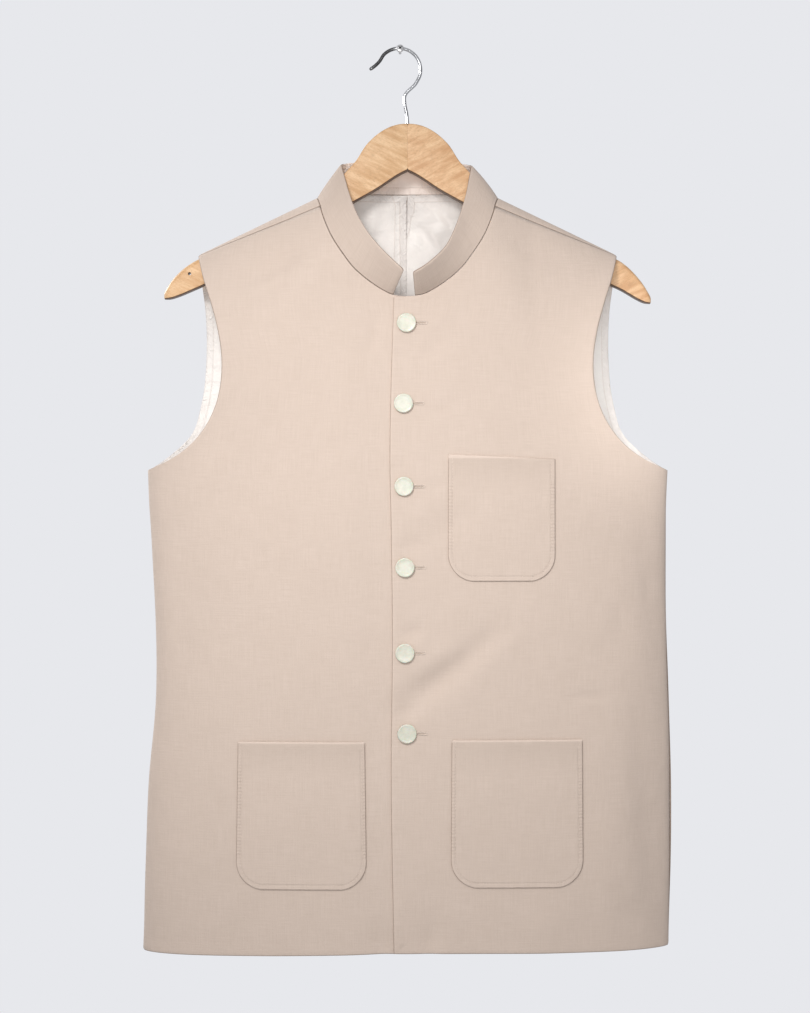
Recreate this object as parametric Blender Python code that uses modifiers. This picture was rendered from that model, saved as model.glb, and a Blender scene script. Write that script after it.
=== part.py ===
"""Sleeveless stand-collar waistcoat on a wooden hanger, hung from a screw in a wall.

Blender works in metres, +Z up. The front of the garment faces -Y and the wearer's left is +X.
The tables below are in millimetres. The origin is the inside crown of the hanger's hook, where
the wire bears on the screw. A garment's x is counted from its own centre line, and the cloth's
depth is counted from the plane of the hanger.
"""

import math
from collections import namedtuple

import bmesh
import bpy
import numpy as np
from mathutils import Vector
from mathutils.bvhtree import BVHTree

MM = 0.001

RIGHT = -1  # the wearer's right, on the left of the front view
LEFT = 1
FRONT = -1
BACK = 1

# Cloth thicknesses and the gap that every seam keeps
CLOTH = 1.6
LINING_CLOTH = 1.0
COLLAR_CLOTH = 2.4
POCKET_CLOTH = 1.2
SEAM_GAP = 0.3
LINING_INSET = CLOTH + SEAM_GAP
FACET_ROOM = 0.15  # flat facets lie a little inside the round form they follow
SEAM_SHARE = 0.6  # each piece keeps a little over half of the seam's gap

# The garment as it hangs
GARMENT_CENTRE_X = 7.0
FRONT_DEPTH = 38.0
BACK_DEPTH = 33.0
RIDGE_ROUNDING = 9.6  # radius of the cloth where it folds over the hanger
NECK_ROUNDING = 7.0  # how much larger that radius is where the neck opens
NECK_ROUNDING_FULL_X, NECK_ROUNDING_END_X = 72.0, 120.0
CENTRE_ROUNDING = 20.0  # how softly the two shoulder slopes meet above the neck
RIDGE_NECK_X, RIDGE_NECK_Z = 84.0, -138.0
RIDGE_TIP_X, RIDGE_TIP_Z = 194.0, -191.0
UNDERARM_Z = -391.0
SIDE_FADE_Z = -215.0  # above this the cloth no longer bends round to a side fold
HEM_Z = -831.0
HEM_DROP_RIGHT = 4.5  # the right front hangs lower at its side
BACK_NECK_Z, BACK_NECK_DROP = -130.0, 8.0
SHOULDER_SEAM_NECK = 12.0  # how far the forward seam lies below the ridge
SHOULDER_SEAM_TIP = 1.4
SEAM_NECK_X = 80.3
UNDERLAP_X = -16.0
UNDERLAP_FULL_X, UNDERLAP_START_X = 24.0, 60.0
UNDERLAP_PUSH = CLOTH + SEAM_GAP + FACET_ROOM

# Half-widths of the body at its side folds
SideRow = namedtuple("SideRow", "z right left")
SIDE_FOLDS = [
    SideRow(-391, 241.5, 241.5),
    SideRow(-418, 240.5, 240.5),
    SideRow(-456, 237.5, 240.0),
    SideRow(-530, 234.0, 241.0),
    SideRow(-605, 234.0, 243.0),
    SideRow(-679, 240.5, 245.0),
    SideRow(-753, 243.0, 245.0),
    SideRow(-831, 245.5, 243.5),
]

OutlineRow = namedtuple("OutlineRow", "x z")
FRONT_ARMHOLE = [
    OutlineRow(241.5, -391),
    OutlineRow(224, -384),
    OutlineRow(208, -375),
    OutlineRow(195, -364),
    OutlineRow(184, -350),
    OutlineRow(174.5, -330),
    OutlineRow(170, -308),
    OutlineRow(169.5, -290),
    OutlineRow(173.5, -262),
    OutlineRow(181, -235),
    OutlineRow(187, -217),
    OutlineRow(194, -192.4),
]
BACK_ARMHOLE = [
    OutlineRow(241.5, -391),
    OutlineRow(222, -376),
    OutlineRow(202, -354),
    OutlineRow(195.5, -332),
    OutlineRow(192, -312),
    OutlineRow(190.5, -290),
    OutlineRow(190, -262),
    OutlineRow(191, -239),
    OutlineRow(193.5, -214),
    OutlineRow(194, -191.4),
]
# The share of each armhole's length that lies below the lowest point of the neck
FRONT_ARMHOLE_BELOW_NECK = 0.52
BACK_ARMHOLE_BELOW_NECK = 0.56
NECKLINE = [
    OutlineRow(-18, -235.0),
    OutlineRow(-12.5, -234.0),
    OutlineRow(0, -233.3),
    OutlineRow(7, -232.8),
    OutlineRow(14, -231.6),
    OutlineRow(23.6, -227),
    OutlineRow(35.7, -219),
    OutlineRow(48.6, -208),
    OutlineRow(60.1, -193),
    OutlineRow(69.2, -178.5),
    OutlineRow(75.2, -165),
    OutlineRow(80.3, -150),
]
# The free edge of the front that laps over, which isn't quite straight
FRONT_EDGE = [
    OutlineRow(-12.5, -234),
    OutlineRow(-15.3, -320),
    OutlineRow(-16.2, -372),
    OutlineRow(-15.0, -450),
    OutlineRow(-14.0, -530),
    OutlineRow(-15.0, -680),
    OutlineRow(-12.5, -831),
]

# The largest folds: a soft trough or ridge from one point to another, deepest between them
Fold = namedtuple("Fold", "facing x0 z0 x1 z1 width depth")
FOLD_END_DEPTH = 0.35
FOLDS = [
    Fold(FRONT, -76, -182, -160, -216, 13, -2.4),
    Fold(FRONT, 96, -182, 154, -206, 12, -1.4),
    Fold(FRONT, 20, -592, 86, -533, 13, -2.6),
    Fold(FRONT, 10, -575, 52, -548, 10, 1.4),
    Fold(FRONT, 10, -458, 62, -428, 12, -1.2),
    Fold(FRONT, 205, -560, 222, -800, 20, -2.0),
    Fold(FRONT, -196, -470, -212, -590, 18, -1.6),
    Fold(BACK, -150, -235, -95, -300, 15, -2.2),
    Fold(BACK, 148, -240, 88, -318, 16, -2.5),
    Fold(BACK, -205, -520, -120, -600, 20, -2.2),
    Fold(BACK, 196, -470, 130, -560, 18, -1.8),
    Fold(BACK, -60, -560, -66, -810, 24, 2.4),
    Fold(BACK, 78, -600, 92, -815, 26, 2.8),
]

# The collar, from the middle of the back to its front ends: the x of its foot on the neckline,
# and its top edge on the wearer's right and left
CollarRow = namedtuple("CollarRow", "facing foot_x right left")
COLLAR_ROWS = [
    CollarRow(BACK, 0, (0, 20, -98.5), (0, 20, -98.5)),
    CollarRow(BACK, 30, (25, 19, -99.3), (24, 19, -99.8)),
    CollarRow(BACK, 57, (45, 16, -101.2), (43.5, 16, -102)),
    CollarRow(BACK, 76, (59, 9, -104), (57, 9, -105)),
    CollarRow(FRONT, 83.6, (61.8, -2, -107.5), (59.6, -2, -108.5)),
    CollarRow(FRONT, 80.3, (58.3, -11, -120), (57, -11.5, -121.5)),
    CollarRow(FRONT, 75.2, (54, -20, -135), (53.5, -21, -138)),
    CollarRow(FRONT, 69.2, (49.5, -29, -149), (49.3, -31, -153)),
    CollarRow(FRONT, 60.1, (43, -38, -164), (43.5, -43, -171)),
    CollarRow(FRONT, 48.6, (33.5, -47, -180), (35.5, -52, -189)),
    CollarRow(FRONT, 35.7, (23, -54, -193.5), (26.3, -57, -200)),
    CollarRow(FRONT, 23.6, (12.7, -58, -204.5), (15.8, -61, -209.2)),
]
COLLAR_END_RIGHT = CollarRow(FRONT, 13.2, (3.6, -61, -213.4), None)
COLLAR_END_LEFT = CollarRow(FRONT, 6.7, None, (4.8, -63, -215.8))
COLLAR_SEAM_GAP = 0.4
COLLAR_CORNER = 2.0
COLLAR_BULGE = 1.0
COLLAR_RUN = 4.0  # how far to each side the foot's direction is taken
COLLAR_BEND_END = 0.4  # above this height the collar has left the panels' direction
COLLAR_HEIGHTS = (0.0, 0.12, 0.45, 0.85, 1.0)

# Patch pockets: the panel, the middle and top of the opening, how much lower the opening is at
# its outer end, width at the opening and lower down, height and the radius of the lower corners
Pocket = namedtuple("Pocket", "name side centre_x top_z tilt top_width width height corner")
POCKETS = [
    Pocket("pocket_breast", LEFT, 85.5, -379.2, 2.0, 97.0, 97.5, 113.0, 24.0),
    Pocket("pocket_lower_right", RIGHT, -96.6, -638.5, 0.0, 115.5, 119.0, 134.0, 25.0),
    Pocket("pocket_lower_left", LEFT, 99.6, -636.6, 0.0, 119.0, 120.5, 134.0, 25.0),
]

POCKET_GAP = 0.36
POCKET_CORNER_TURNS = (0, 28, 50, 70, 90)
POCKET_ROWS_ABOVE = 4
POCKET_COLUMNS = 9

# Buttons: a turned disc with a raised rim
BUTTON_RADIUS = 8.8
BUTTON_EDGE_THICK = 2.6
BUTTON_DISH = 0.5
BUTTON_RIM = 1.3
BUTTON_BACK_RADIUS = 7.6
BUTTON_SIDES = 16
BUTTON_GAP = 0.39
ButtonRow = namedtuple("ButtonRow", "x z")
BUTTONS = [
    ButtonRow(-1.0, -257.7),
    ButtonRow(-3.7, -330.8),
    ButtonRow(-3.3, -406.3),
    ButtonRow(-2.4, -480.0),
    ButtonRow(-2.4, -557.7),
    ButtonRow(-0.5, -630.8),
]

# The lining's centre pleat
LINING_UNDER_X = -15.6
LINING_FOLD_X = 1.0
UNDER_LINING_INSET = 0.3
PLEAT_LIFT = UNDER_LINING_INSET + LINING_CLOTH + SEAM_GAP + 2 * FACET_ROOM
PLEAT_FULL_X, PLEAT_START_X = 18.0, 45.0

# The hanger: one half from the joint to the tip
HangerRow = namedtuple("HangerRow", "x top bottom")
HANGER = [
    HangerRow(0, -69.3, -112.5),
    HangerRow(8, -69.9, -116.5),
    HangerRow(16, -72.2, -121.5),
    HangerRow(24, -76.4, -127.0),
    HangerRow(32, -82.6, -132.0),
    HangerRow(39, -90.0, -136.0),
    HangerRow(47.4, -103.2, -140.6),
    HangerRow(57, -114.0, -145.9),
    HangerRow(68, -127.8, -152.0),
    HangerRow(76, -136.6, -156.4),
    HangerRow(86, -143.2, -161.9),
]
HANGER_BOTTOM_SLOPE_X, HANGER_BOTTOM_SLOPE_Z = 186.0, -217.6
HANGER_SLOPE_STEPS = 9
# The rounded tip, past the end of the shoulder ridge
HANGER_TIP = [
    HangerRow(200.0, -197.9, -224.0),
    HangerRow(212.0, -207.0, -229.0),
    HangerRow(220.0, -216.0, -231.5),
    HangerRow(225.5, -225.0, -232.0),
]
HANGER_TIP_DROP_LEFT = 4.0  # the wearer's left tip hangs a little lower
HANGER_HALF_THICK = 6.0
HANGER_UNDER_CLOTH = 4.0  # from the ridge of the outer cloth down to the wood
HANGER_JOINT_GAP = 0.3
HANGER_SIDES = 12

# The hook's wire, and the screw it hangs on
WIRE_RADIUS = 1.6
HOOK_ARC_CENTRE_X = -0.8
HOOK_ARC_RADIUS = 20.0
HOOK_ARC_START, HOOK_ARC_END = -38.0, 158.0
HOOK_SHANK = [(7.07, -69.0), (6.3, -60.0), (4.4, -50.0), (4.3, -43.5)]
HOOK_TAIL = [(-22.6, -14.2), (-28.2, -18.4)]
HOOK_SEAT_GAP = 0.42
HOOK_ARC_STEPS = 8
HOOK_STATIONS = 34
SCREW_TILT = 9.0
SCREW_SHANK_RADIUS = 1.3
SCREW_HEAD_RADIUS = 3.7
SCREW_HEAD_HEIGHT = 1.9
SCREW_SIDES = 20
SCREW_HEAD_Y = -7.2
SCREW_END_Y = 3.2  # the part that is out of the wall, hidden behind the head in front view
SCREW_RECESS_LONG, SCREW_RECESS_WIDE, SCREW_RECESS_DEEP = 3.8, 0.9, 1.1

# How finely the cloth is divided: columns across a half, rows up its height
FRONT_STEPS = tuple(range(15))
BACK_STEPS = (0, 0.4) + tuple(range(1, 13))
BODY_ROWS = 12
CHEST_ROWS = 7
SHOULDER_ROWS = 8
BACK_NECK_CROWDING = 1.6
ROWS_TOWARDS_RIDGE = 1.9  # above 1 the rows lie closer together where the cloth bends over
RIDGE_SHARES = (0.0, 0.12, 0.34, 0.64, 1.0)


def smooth_step(low, high, value):
    """0 at low, 1 at high, smooth between."""
    share = min(1.0, max(0.0, (value - low) / (high - low)))
    return share * share * (3 - 2 * share)


def smooth_curve(keys, values, at):
    """A cubic through the values at rising keys, its slopes taken from their neighbours."""
    keys = np.asarray(keys, float)
    values = np.asarray(values, float)
    slopes = np.gradient(values, keys, axis=0)
    i = int(np.clip(np.searchsorted(keys, at) - 1, 0, len(keys) - 2))
    span = keys[i + 1] - keys[i]
    t = (at - keys[i]) / span
    return (
        (1 + 2 * t) * (1 - t) ** 2 * values[i]
        + t * (1 - t) ** 2 * span * slopes[i]
        + t * t * (3 - 2 * t) * values[i + 1]
        + t * t * (t - 1) * span * slopes[i + 1]
    )


def along_outline(rows, share):
    """The point at this share of an outline's length."""
    points = np.array([(row.x, row.z) for row in rows], float)
    steps = np.linalg.norm(np.diff(points, axis=0), axis=1)
    keys = np.concatenate(([0.0], np.cumsum(steps)))
    return smooth_curve(keys / keys[-1], points, share)


def half_width(side, z):
    """The body's half-width at its side fold."""
    rows = SIDE_FOLDS[::-1]
    column = "right" if side == RIGHT else "left"
    height = min(z, rows[-1].z)
    return float(smooth_curve([r.z for r in rows], [getattr(r, column) for r in rows], height))


def ridge_z(x):
    """The height of the shoulder ridge, the highest line of the cloth."""

    def run(distance):
        return math.hypot(distance, CENTRE_ROUNDING) - CENTRE_ROUNDING

    slope = (RIDGE_NECK_Z - RIDGE_TIP_Z) / (run(RIDGE_TIP_X) - run(RIDGE_NECK_X))
    return RIDGE_NECK_Z + slope * (run(RIDGE_NECK_X) - run(x))


def hem_z(side, x, width):
    if side == LEFT:
        return HEM_Z
    return HEM_Z - HEM_DROP_RIGHT * smooth_step(0.0, 1.0, x / width)


def depth_squared(side, facing, x, z):
    """The cloth's depth, squared: round over the ridge, flat below it and round at the side."""
    depth = FRONT_DEPTH if facing == FRONT else BACK_DEPTH
    neck = 1 - smooth_step(NECK_ROUNDING_FULL_X, NECK_ROUNDING_END_X, abs(x))
    reach = depth**2 / (RIDGE_ROUNDING + NECK_ROUNDING * neck)
    below = min(1.0, (ridge_z(x) - z) / reach)
    over_ridge = 1 - (1 - below) ** 2
    fade = smooth_step(SIDE_FADE_Z, UNDERARM_Z, z)
    round_side = 1 - fade * (abs(x) / half_width(side, z)) ** 3
    return depth**2 * over_ridge * round_side


def fold_height(side, facing, x, z):
    """How far the largest folds move the cloth outwards here."""
    total = 0.0
    for fold in FOLDS:
        if fold.facing != facing:
            continue
        run = Vector((fold.x1 - fold.x0, fold.z1 - fold.z0))
        to_point = Vector((side * x - fold.x0, z - fold.z0))
        share = min(1.0, max(0.0, to_point.dot(run) / run.length_squared))
        across = (to_point - share * run).length
        ends = FOLD_END_DEPTH + (1 - FOLD_END_DEPTH) * math.sin(math.pi * share)
        total += fold.depth * ends * math.exp(-((across / fold.width) ** 2))
    return total


def cloth(side, facing, x, z, inset=0.0):
    """A point of the garment's cloth and the way it faces, x counted outwards from the centre."""
    step = 0.01
    squared = depth_squared(side, facing, x, z)
    seam = SEAM_GAP / 2 * smooth_step(SIDE_FADE_Z, UNDERARM_Z, z)
    y = facing * math.sqrt(max(0.0, squared))
    slope_x = depth_squared(side, facing, x + step, z) - depth_squared(side, facing, x - step, z)
    slope_z = depth_squared(side, facing, x, z + step) - depth_squared(side, facing, x, z - step)
    normal = Vector((-slope_x / (2 * step), 2 * y, -slope_z / (2 * step))).normalized()
    normal.x *= side
    point = Vector((side * x, y + facing * seam, z))
    return point + normal * (fold_height(side, facing, x, z) - inset), normal


def seam_step(x, z):
    """The height on the front of the ridge that half a seam's gap takes up there."""
    step = 0.05
    low = math.sqrt(max(0.0, depth_squared(LEFT, FRONT, x, z - step)))
    high = math.sqrt(max(0.0, depth_squared(LEFT, FRONT, x, z + step)))
    return SEAM_SHARE * SEAM_GAP / math.hypot(1.0, (low - high) / (2 * step))


def shoulder_seam(share, towards):
    """The forward shoulder seam from neck to tip, moved off its line towards one piece."""
    x = SEAM_NECK_X + (RIDGE_TIP_X - SEAM_NECK_X) * share
    below = SHOULDER_SEAM_NECK + (SHOULDER_SEAM_TIP - SHOULDER_SEAM_NECK) * share
    z = ridge_z(x) - below
    return x, z + towards * seam_step(x, z)


def column_shares(steps, spread):
    """Shares of a row's width, closer together at the outer edge where the spread is 0."""
    for step in steps:
        share = step / steps[-1]
        yield (1 - spread) * (1 - (1 - share) ** 2) + spread * share


def row_points(inner, outer, steps, spread, follow):
    """A row's x and z, straight where follow is 0 and along the shoulder's slope where it is 1."""
    inner_below = ridge_z(inner[0]) - inner[1]
    outer_below = ridge_z(outer[0]) - outer[1]
    row = []
    for share in column_shares(steps, spread):
        x = inner[0] + (outer[0] - inner[0]) * share
        level = inner[1] + (outer[1] - inner[1]) * share
        sloped = ridge_z(x) - inner_below - (outer_below - inner_below) * share
        row.append((x, level + follow * (sloped - level)))
    return row


def body_rows(side, inner_x, steps):
    """The rows from the hem to the underarm, inner_x being the inner edge's x at a height."""
    rows = []
    for i in range(BODY_ROWS):
        share = i / BODY_ROWS
        bottom_inner = hem_z(side, 0.0, 1.0)
        bottom_outer = hem_z(side, 1.0, 1.0)
        z_inner = bottom_inner + (UNDERARM_Z - bottom_inner) * share
        z_outer = bottom_outer + (UNDERARM_Z - bottom_outer) * share
        outer = (half_width(side, z_outer), z_outer)
        rows.append(row_points((inner_x(z_inner), z_inner), outer, steps, 0.0, 0.0))
    return rows


def chest_rows(inner_x, top, armhole, armhole_share, steps):
    """The rows from the underarm up to the lowest point of the neckline."""
    rows = []
    for i in range(CHEST_ROWS):
        share = i / CHEST_ROWS
        z = UNDERARM_Z + (top - UNDERARM_Z) * share
        outer = along_outline(armhole, armhole_share * share)
        spread = smooth_step(0, 1, share)
        rows.append(row_points((inner_x(z), z), outer, steps, spread, 0.0))
    return rows


def front_rows(side):
    """The rows of a front from the hem to the forward shoulder seam."""
    edge = FRONT_EDGE[::-1]
    neck = NECKLINE[::-1]

    def inner_x(z):
        if side == RIGHT:
            return UNDERLAP_X
        return float(smooth_curve([r.z for r in edge], [r.x for r in edge], z))

    armhole_share = FRONT_ARMHOLE_BELOW_NECK
    start = NECKLINE[0] if side == RIGHT else NECKLINE[1]
    neckline = [row for row in NECKLINE if row.x >= start.x]
    steps = FRONT_STEPS
    rows = body_rows(side, inner_x, steps)
    rows += chest_rows(inner_x, start.z, FRONT_ARMHOLE, armhole_share, steps)
    for i in range(SHOULDER_ROWS):
        share = i / SHOULDER_ROWS
        inner = along_outline(neckline, share)
        near_ridge = 1 - (1 - share) ** ROWS_TOWARDS_RIDGE
        outer = along_outline(FRONT_ARMHOLE, armhole_share + (1 - armhole_share) * near_ridge)
        rows.append(row_points(inner, outer, steps, 1.0, share**2))
    rows.append([shoulder_seam(share, -1) for share in column_shares(steps, 1.0)])
    return [[(x, z, FRONT) for x, z in row] for row in rows]


def back_neck_z(x):
    return BACK_NECK_Z - BACK_NECK_DROP * (abs(x) / RIDGE_NECK_X) ** 4


def back_rows(side, inner):
    """The rows of a half back from the hem, over the ridge, to the forward shoulder seam."""
    armhole_share = BACK_ARMHOLE_BELOW_NECK
    steps = BACK_STEPS
    rows = body_rows(side, lambda z: 0.0, steps)
    rows += chest_rows(lambda z: 0.0, back_neck_z(0.0), BACK_ARMHOLE, armhole_share, steps)
    for i in range(SHOULDER_ROWS):
        share = i / SHOULDER_ROWS
        x = RIDGE_NECK_X * (1 - (1 - share) ** BACK_NECK_CROWDING)
        near_ridge = 1 - (1 - share) ** ROWS_TOWARDS_RIDGE
        outer = along_outline(BACK_ARMHOLE, armhole_share + (1 - armhole_share) * near_ridge)
        rows.append(row_points((x, back_neck_z(x)), outer, steps, 1.0, share**2))
    corner = BODY_ROWS + CHEST_ROWS
    for number, row in enumerate(rows[: corner + 1]):
        x = inner if number < corner - 1 else max(inner, -LINING_FOLD_X)
        row[0] = (x, row[0][1])
    rows = [[(x, z, BACK) for x, z in row] for row in rows]
    ends = (RIDGE_NECK_X, RIDGE_NECK_Z), (RIDGE_TIP_X, RIDGE_TIP_Z)
    ridge = row_points(*ends, steps, 1.0, 1.0)
    seam = [shoulder_seam(share, 1) for share in column_shares(steps, 1.0)]
    for share in RIDGE_SHARES:
        row = []
        for (ridge_x, _), (seam_x, seam_z) in zip(ridge, seam):
            x = ridge_x + (seam_x - ridge_x) * share
            below = (ridge_z(seam_x) - seam_z) * share
            row.append((x, ridge_z(x) - below, FRONT))
        rows.append(row)
    return rows


def wall_points(side, rows, thick, inset=0.0, extra_inset=None):
    """The outer and inner points of a wall on the garment's form."""
    outer, inner = [], []
    for row in rows:
        outer_row, inner_row = [], []
        for x, z, facing in row:
            more = extra_inset(x) if extra_inset else 0.0
            point, normal = cloth(side, facing, x, z, inset + more)
            outer_row.append(point)
            inner_row.append(point - normal * thick)
        outer.append(outer_row)
        inner.append(inner_row)
    return outer, inner


def make_wall(name, patches, material):
    """A closed wall from grids of outer and inner points, patches that touch being welded."""
    mesh_builder = bmesh.new()
    inside = mesh_builder.verts.layers.float_vector.new("inside")
    for outer, inner in patches:
        last_row, last_column = len(outer) - 1, len(outer[0]) - 1
        grid = bmesh.ops.create_grid(
            mesh_builder, x_segments=last_column, y_segments=last_row, size=0.5
        )
        for vertex in grid["verts"]:
            column = round((vertex.co.x + 0.5) * last_column)
            row = round((vertex.co.y + 0.5) * last_row)
            vertex[inside] = inner[row][column] * MM
            vertex.co = outer[row][column] * MM
    bmesh.ops.remove_doubles(mesh_builder, verts=mesh_builder.verts, dist=1e-6)
    extruded = bmesh.ops.extrude_face_region(mesh_builder, geom=mesh_builder.faces[:])
    for item in extruded["geom"]:
        if isinstance(item, bmesh.types.BMVert):
            item.co = item[inside]
    bmesh.ops.recalc_face_normals(mesh_builder, faces=mesh_builder.faces)
    return add_object(name, mesh_builder, material)


def add_object(name, mesh_builder, material, sharp_angle=40):
    mesh = bpy.data.meshes.new(name)
    mesh_builder.to_mesh(mesh)
    mesh_builder.free()
    mesh.shade_smooth()
    mesh.set_sharp_from_angle(angle=math.radians(sharp_angle))
    mesh.materials.append(material)
    obj = bpy.data.objects.new(name, mesh)
    PARTS.objects.link(obj)
    return obj


def make_material(name, colour, roughness, metallic=0.0):
    material = bpy.data.materials.new(name)
    material.use_nodes = True
    shader = material.node_tree.nodes["Principled BSDF"]
    shader.inputs["Base Color"].default_value = (*colour, 1.0)
    shader.inputs["Roughness"].default_value = roughness
    shader.inputs["Metallic"].default_value = metallic
    return material


def on_garment(obj):
    obj.parent = GARMENT
    return obj


def underlap_inset(x):
    """How far the right front is pressed back where the left front laps over it."""
    return UNDERLAP_PUSH * smooth_step(UNDERLAP_START_X, UNDERLAP_FULL_X, x)


def build_fronts(material):
    right = wall_points(RIGHT, front_rows(RIGHT), CLOTH, extra_inset=underlap_inset)
    left = wall_points(LEFT, front_rows(LEFT), CLOTH)
    return {
        RIGHT: on_garment(make_wall("front_right", [right], material)),
        LEFT: on_garment(make_wall("front_left", [left], material)),
    }


def build_back(material):
    halves = [wall_points(side, back_rows(side, 0.0), CLOTH) for side in (RIGHT, LEFT)]
    on_garment(make_wall("back", halves, material))


def pleat_inset(x):
    """The folded edge of the right lining lies inside the left lining."""
    return PLEAT_LIFT * smooth_step(PLEAT_START_X, PLEAT_FULL_X, x)


def under_pleat_inset(x):
    """The edge of the left lining runs past the middle, a little clear of the back."""
    return UNDER_LINING_INSET if x < 0 else 0.0


def build_linings(material):
    folded = wall_points(
        RIGHT, back_rows(RIGHT, LINING_FOLD_X), LINING_CLOTH, LINING_INSET, pleat_inset
    )
    under = wall_points(
        LEFT, back_rows(LEFT, LINING_UNDER_X), LINING_CLOTH, LINING_INSET, under_pleat_inset
    )
    on_garment(make_wall("lining_back_right", [folded], material))
    on_garment(make_wall("lining_back_left", [under], material))


def neck_edge(side):
    """The panels' own neck edge from the middle of the back to the front edge."""
    first = BODY_ROWS + CHEST_ROWS
    back = [row[0] for row in back_rows(side, 0.0)[first:]]
    front = [row[0] for row in front_rows(side)[first:]][::-1]
    return back + front[1:]


def collar_half(side):
    """Outer and inner points of the collar, from the middle of the back to one front end."""
    end = COLLAR_END_RIGHT if side == RIGHT else COLLAR_END_LEFT
    spots, feet, normals = [], [], []
    for x, z, facing in neck_edge(side):
        push = underlap_inset(x) if side == RIGHT and facing == FRONT else 0.0
        foot, normal = cloth(side, facing, x, z, push)
        foot, normal = np.array(foot), np.array(normal)
        if facing == FRONT and x < end.foot_x:
            share = (spots[-1][0] - end.foot_x) / (spots[-1][0] - x)
            spots.append((end.foot_x, z, facing))
            feet.append(feet[-1] + (foot - feet[-1]) * share)
            normals.append(normals[-1] + (normal - normals[-1]) * share)
            break
        spots.append((x, z, facing))
        feet.append(foot)
        normals.append(normal)
    steps = np.linalg.norm(np.diff(feet, axis=0), axis=1)
    keys = np.concatenate(([0.0], np.cumsum(steps)))
    total = keys[-1]
    rows = COLLAR_ROWS + [end]
    row_keys, row_tops = [], []
    for row in rows:
        near = [(spot[0], key) for spot, key in zip(spots, keys) if spot[2] == row.facing]
        near.sort()
        row_keys.append(np.interp(row.foot_x, [x for x, _ in near], [key for _, key in near]))
        top = row.right if side == RIGHT else row.left
        row_tops.append((side * top[0], top[1], top[2]))
    end_height = np.linalg.norm(np.array(row_tops[-1]) - feet[-1])
    outer, inner = [], []
    for share_up in COLLAR_HEIGHTS:
        near_corner = max(0.0, 1 - (1 - share_up) * end_height / COLLAR_CORNER)
        set_back = COLLAR_CORNER * (1 - math.sqrt(1 - near_corner**2))
        bend = smooth_step(0.0, COLLAR_BEND_END, share_up)
        outer_row, inner_row = [], []
        for key in keys:
            at = key * (1 - set_back / total)
            foot = np.array([np.interp(at, keys, column) for column in np.transpose(feet)])
            panel = np.array([np.interp(at, keys, column) for column in np.transpose(normals)])
            rise = smooth_curve(row_keys, row_tops, at) - foot
            ahead, behind = min(total, at + COLLAR_RUN), max(0.0, at - COLLAR_RUN)
            run = [np.interp(ahead, keys, c) - np.interp(behind, keys, c)
                   for c in np.transpose(feet)]
            out = np.cross(rise, run)
            if key == 0.0:
                out[0] = 0.0  # the halves meet square at the middle of the back
            out *= math.copysign(1.0, out @ panel) / np.linalg.norm(out)
            facing = panel / np.linalg.norm(panel) * (1 - bend) + out * bend
            lift = rise / np.linalg.norm(rise) * COLLAR_SEAM_GAP
            bulge = out * COLLAR_BULGE * 4 * share_up * (1 - share_up)
            point = foot + lift + (rise - lift) * share_up + bulge
            outer_row.append(Vector(point))
            inner_row.append(Vector(point - facing / np.linalg.norm(facing) * COLLAR_CLOTH))
        outer.append(outer_row)
        inner.append(inner_row)
    return outer, inner


def build_collar(material):
    """A band that stands on the neckline, its front ends nearly square at the top."""
    halves = [collar_half(side) for side in (RIGHT, LEFT)]
    on_garment(make_wall("collar", halves, material))


def pocket_rows(pocket):
    """The x and z of a patch pocket's points, its lower corners round."""
    bottom = pocket.top_z - pocket.height
    turns = [math.radians(turn) for turn in POCKET_CORNER_TURNS]
    heights = [pocket.corner * (1 - math.cos(a)) for a in turns]
    rest = pocket.height - pocket.corner
    above = range(1, POCKET_ROWS_ABOVE + 1)
    heights += [pocket.corner + rest * i / POCKET_ROWS_ABOVE for i in above]
    rows = []
    for height in heights:
        share = height / pocket.height
        half = (pocket.width + (pocket.top_width - pocket.width) * share) / 2
        below = max(0.0, pocket.corner - height)
        half -= pocket.corner - math.sqrt(pocket.corner**2 - below**2)
        row = []
        for i in range(POCKET_COLUMNS + 1):
            across = 2 * i / POCKET_COLUMNS - 1
            x = pocket.centre_x + half * across
            row.append((x, bottom + height - pocket.tilt * share * across))
        rows.append(row)
    return rows


def panel_surface(panel):
    """A test for rays against a front panel's outer face, in its own millimetres."""
    mesh = panel.data
    vertices = [vertex.co / MM for vertex in mesh.vertices]
    return BVHTree.FromPolygons(vertices, [tuple(face.vertices) for face in mesh.polygons])


def lie_on(surface, x, z):
    """The point of the panel's outer face at this x and z, and the way it faces."""
    point, normal, _, _ = surface.ray_cast(Vector((x, -3 * FRONT_DEPTH, z)), Vector((0, 1, 0)))
    return point, normal


def build_pockets(fronts, material):
    """Patch pockets whose points are the panel's, moved out by the seam gap."""
    for pocket in POCKETS:
        surface = panel_surface(fronts[pocket.side])
        outer, inner = [], []
        for row in pocket_rows(pocket):
            outer_row, inner_row = [], []
            for x, z in row:
                point, normal = lie_on(surface, x, z)
                inner_row.append(point + normal * POCKET_GAP)
                outer_row.append(point + normal * (POCKET_GAP + POCKET_CLOTH))
            outer.append(outer_row)
            inner.append(inner_row)
        on_garment(make_wall(pocket.name, [(outer, inner)], material))


def turned(name, profile, sides, material):
    """A solid turned about Z from a profile that runs down its outer side."""
    mesh = bpy.data.meshes.new(name)
    points = [(radius * MM, 0.0, height * MM) for radius, height in profile]
    mesh.from_pydata(points, [(i, i + 1) for i in range(len(points) - 1)], [])
    mesh.materials.append(material)
    obj = bpy.data.objects.new(name, mesh)
    PARTS.objects.link(obj)
    screw = obj.modifiers.new("turn", "SCREW")
    screw.axis = "Z"
    screw.steps = sides
    screw.render_steps = sides
    screw.use_merge_vertices = True
    screw.merge_threshold = 0.00001
    screw.use_smooth_shade = True
    return obj


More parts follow.
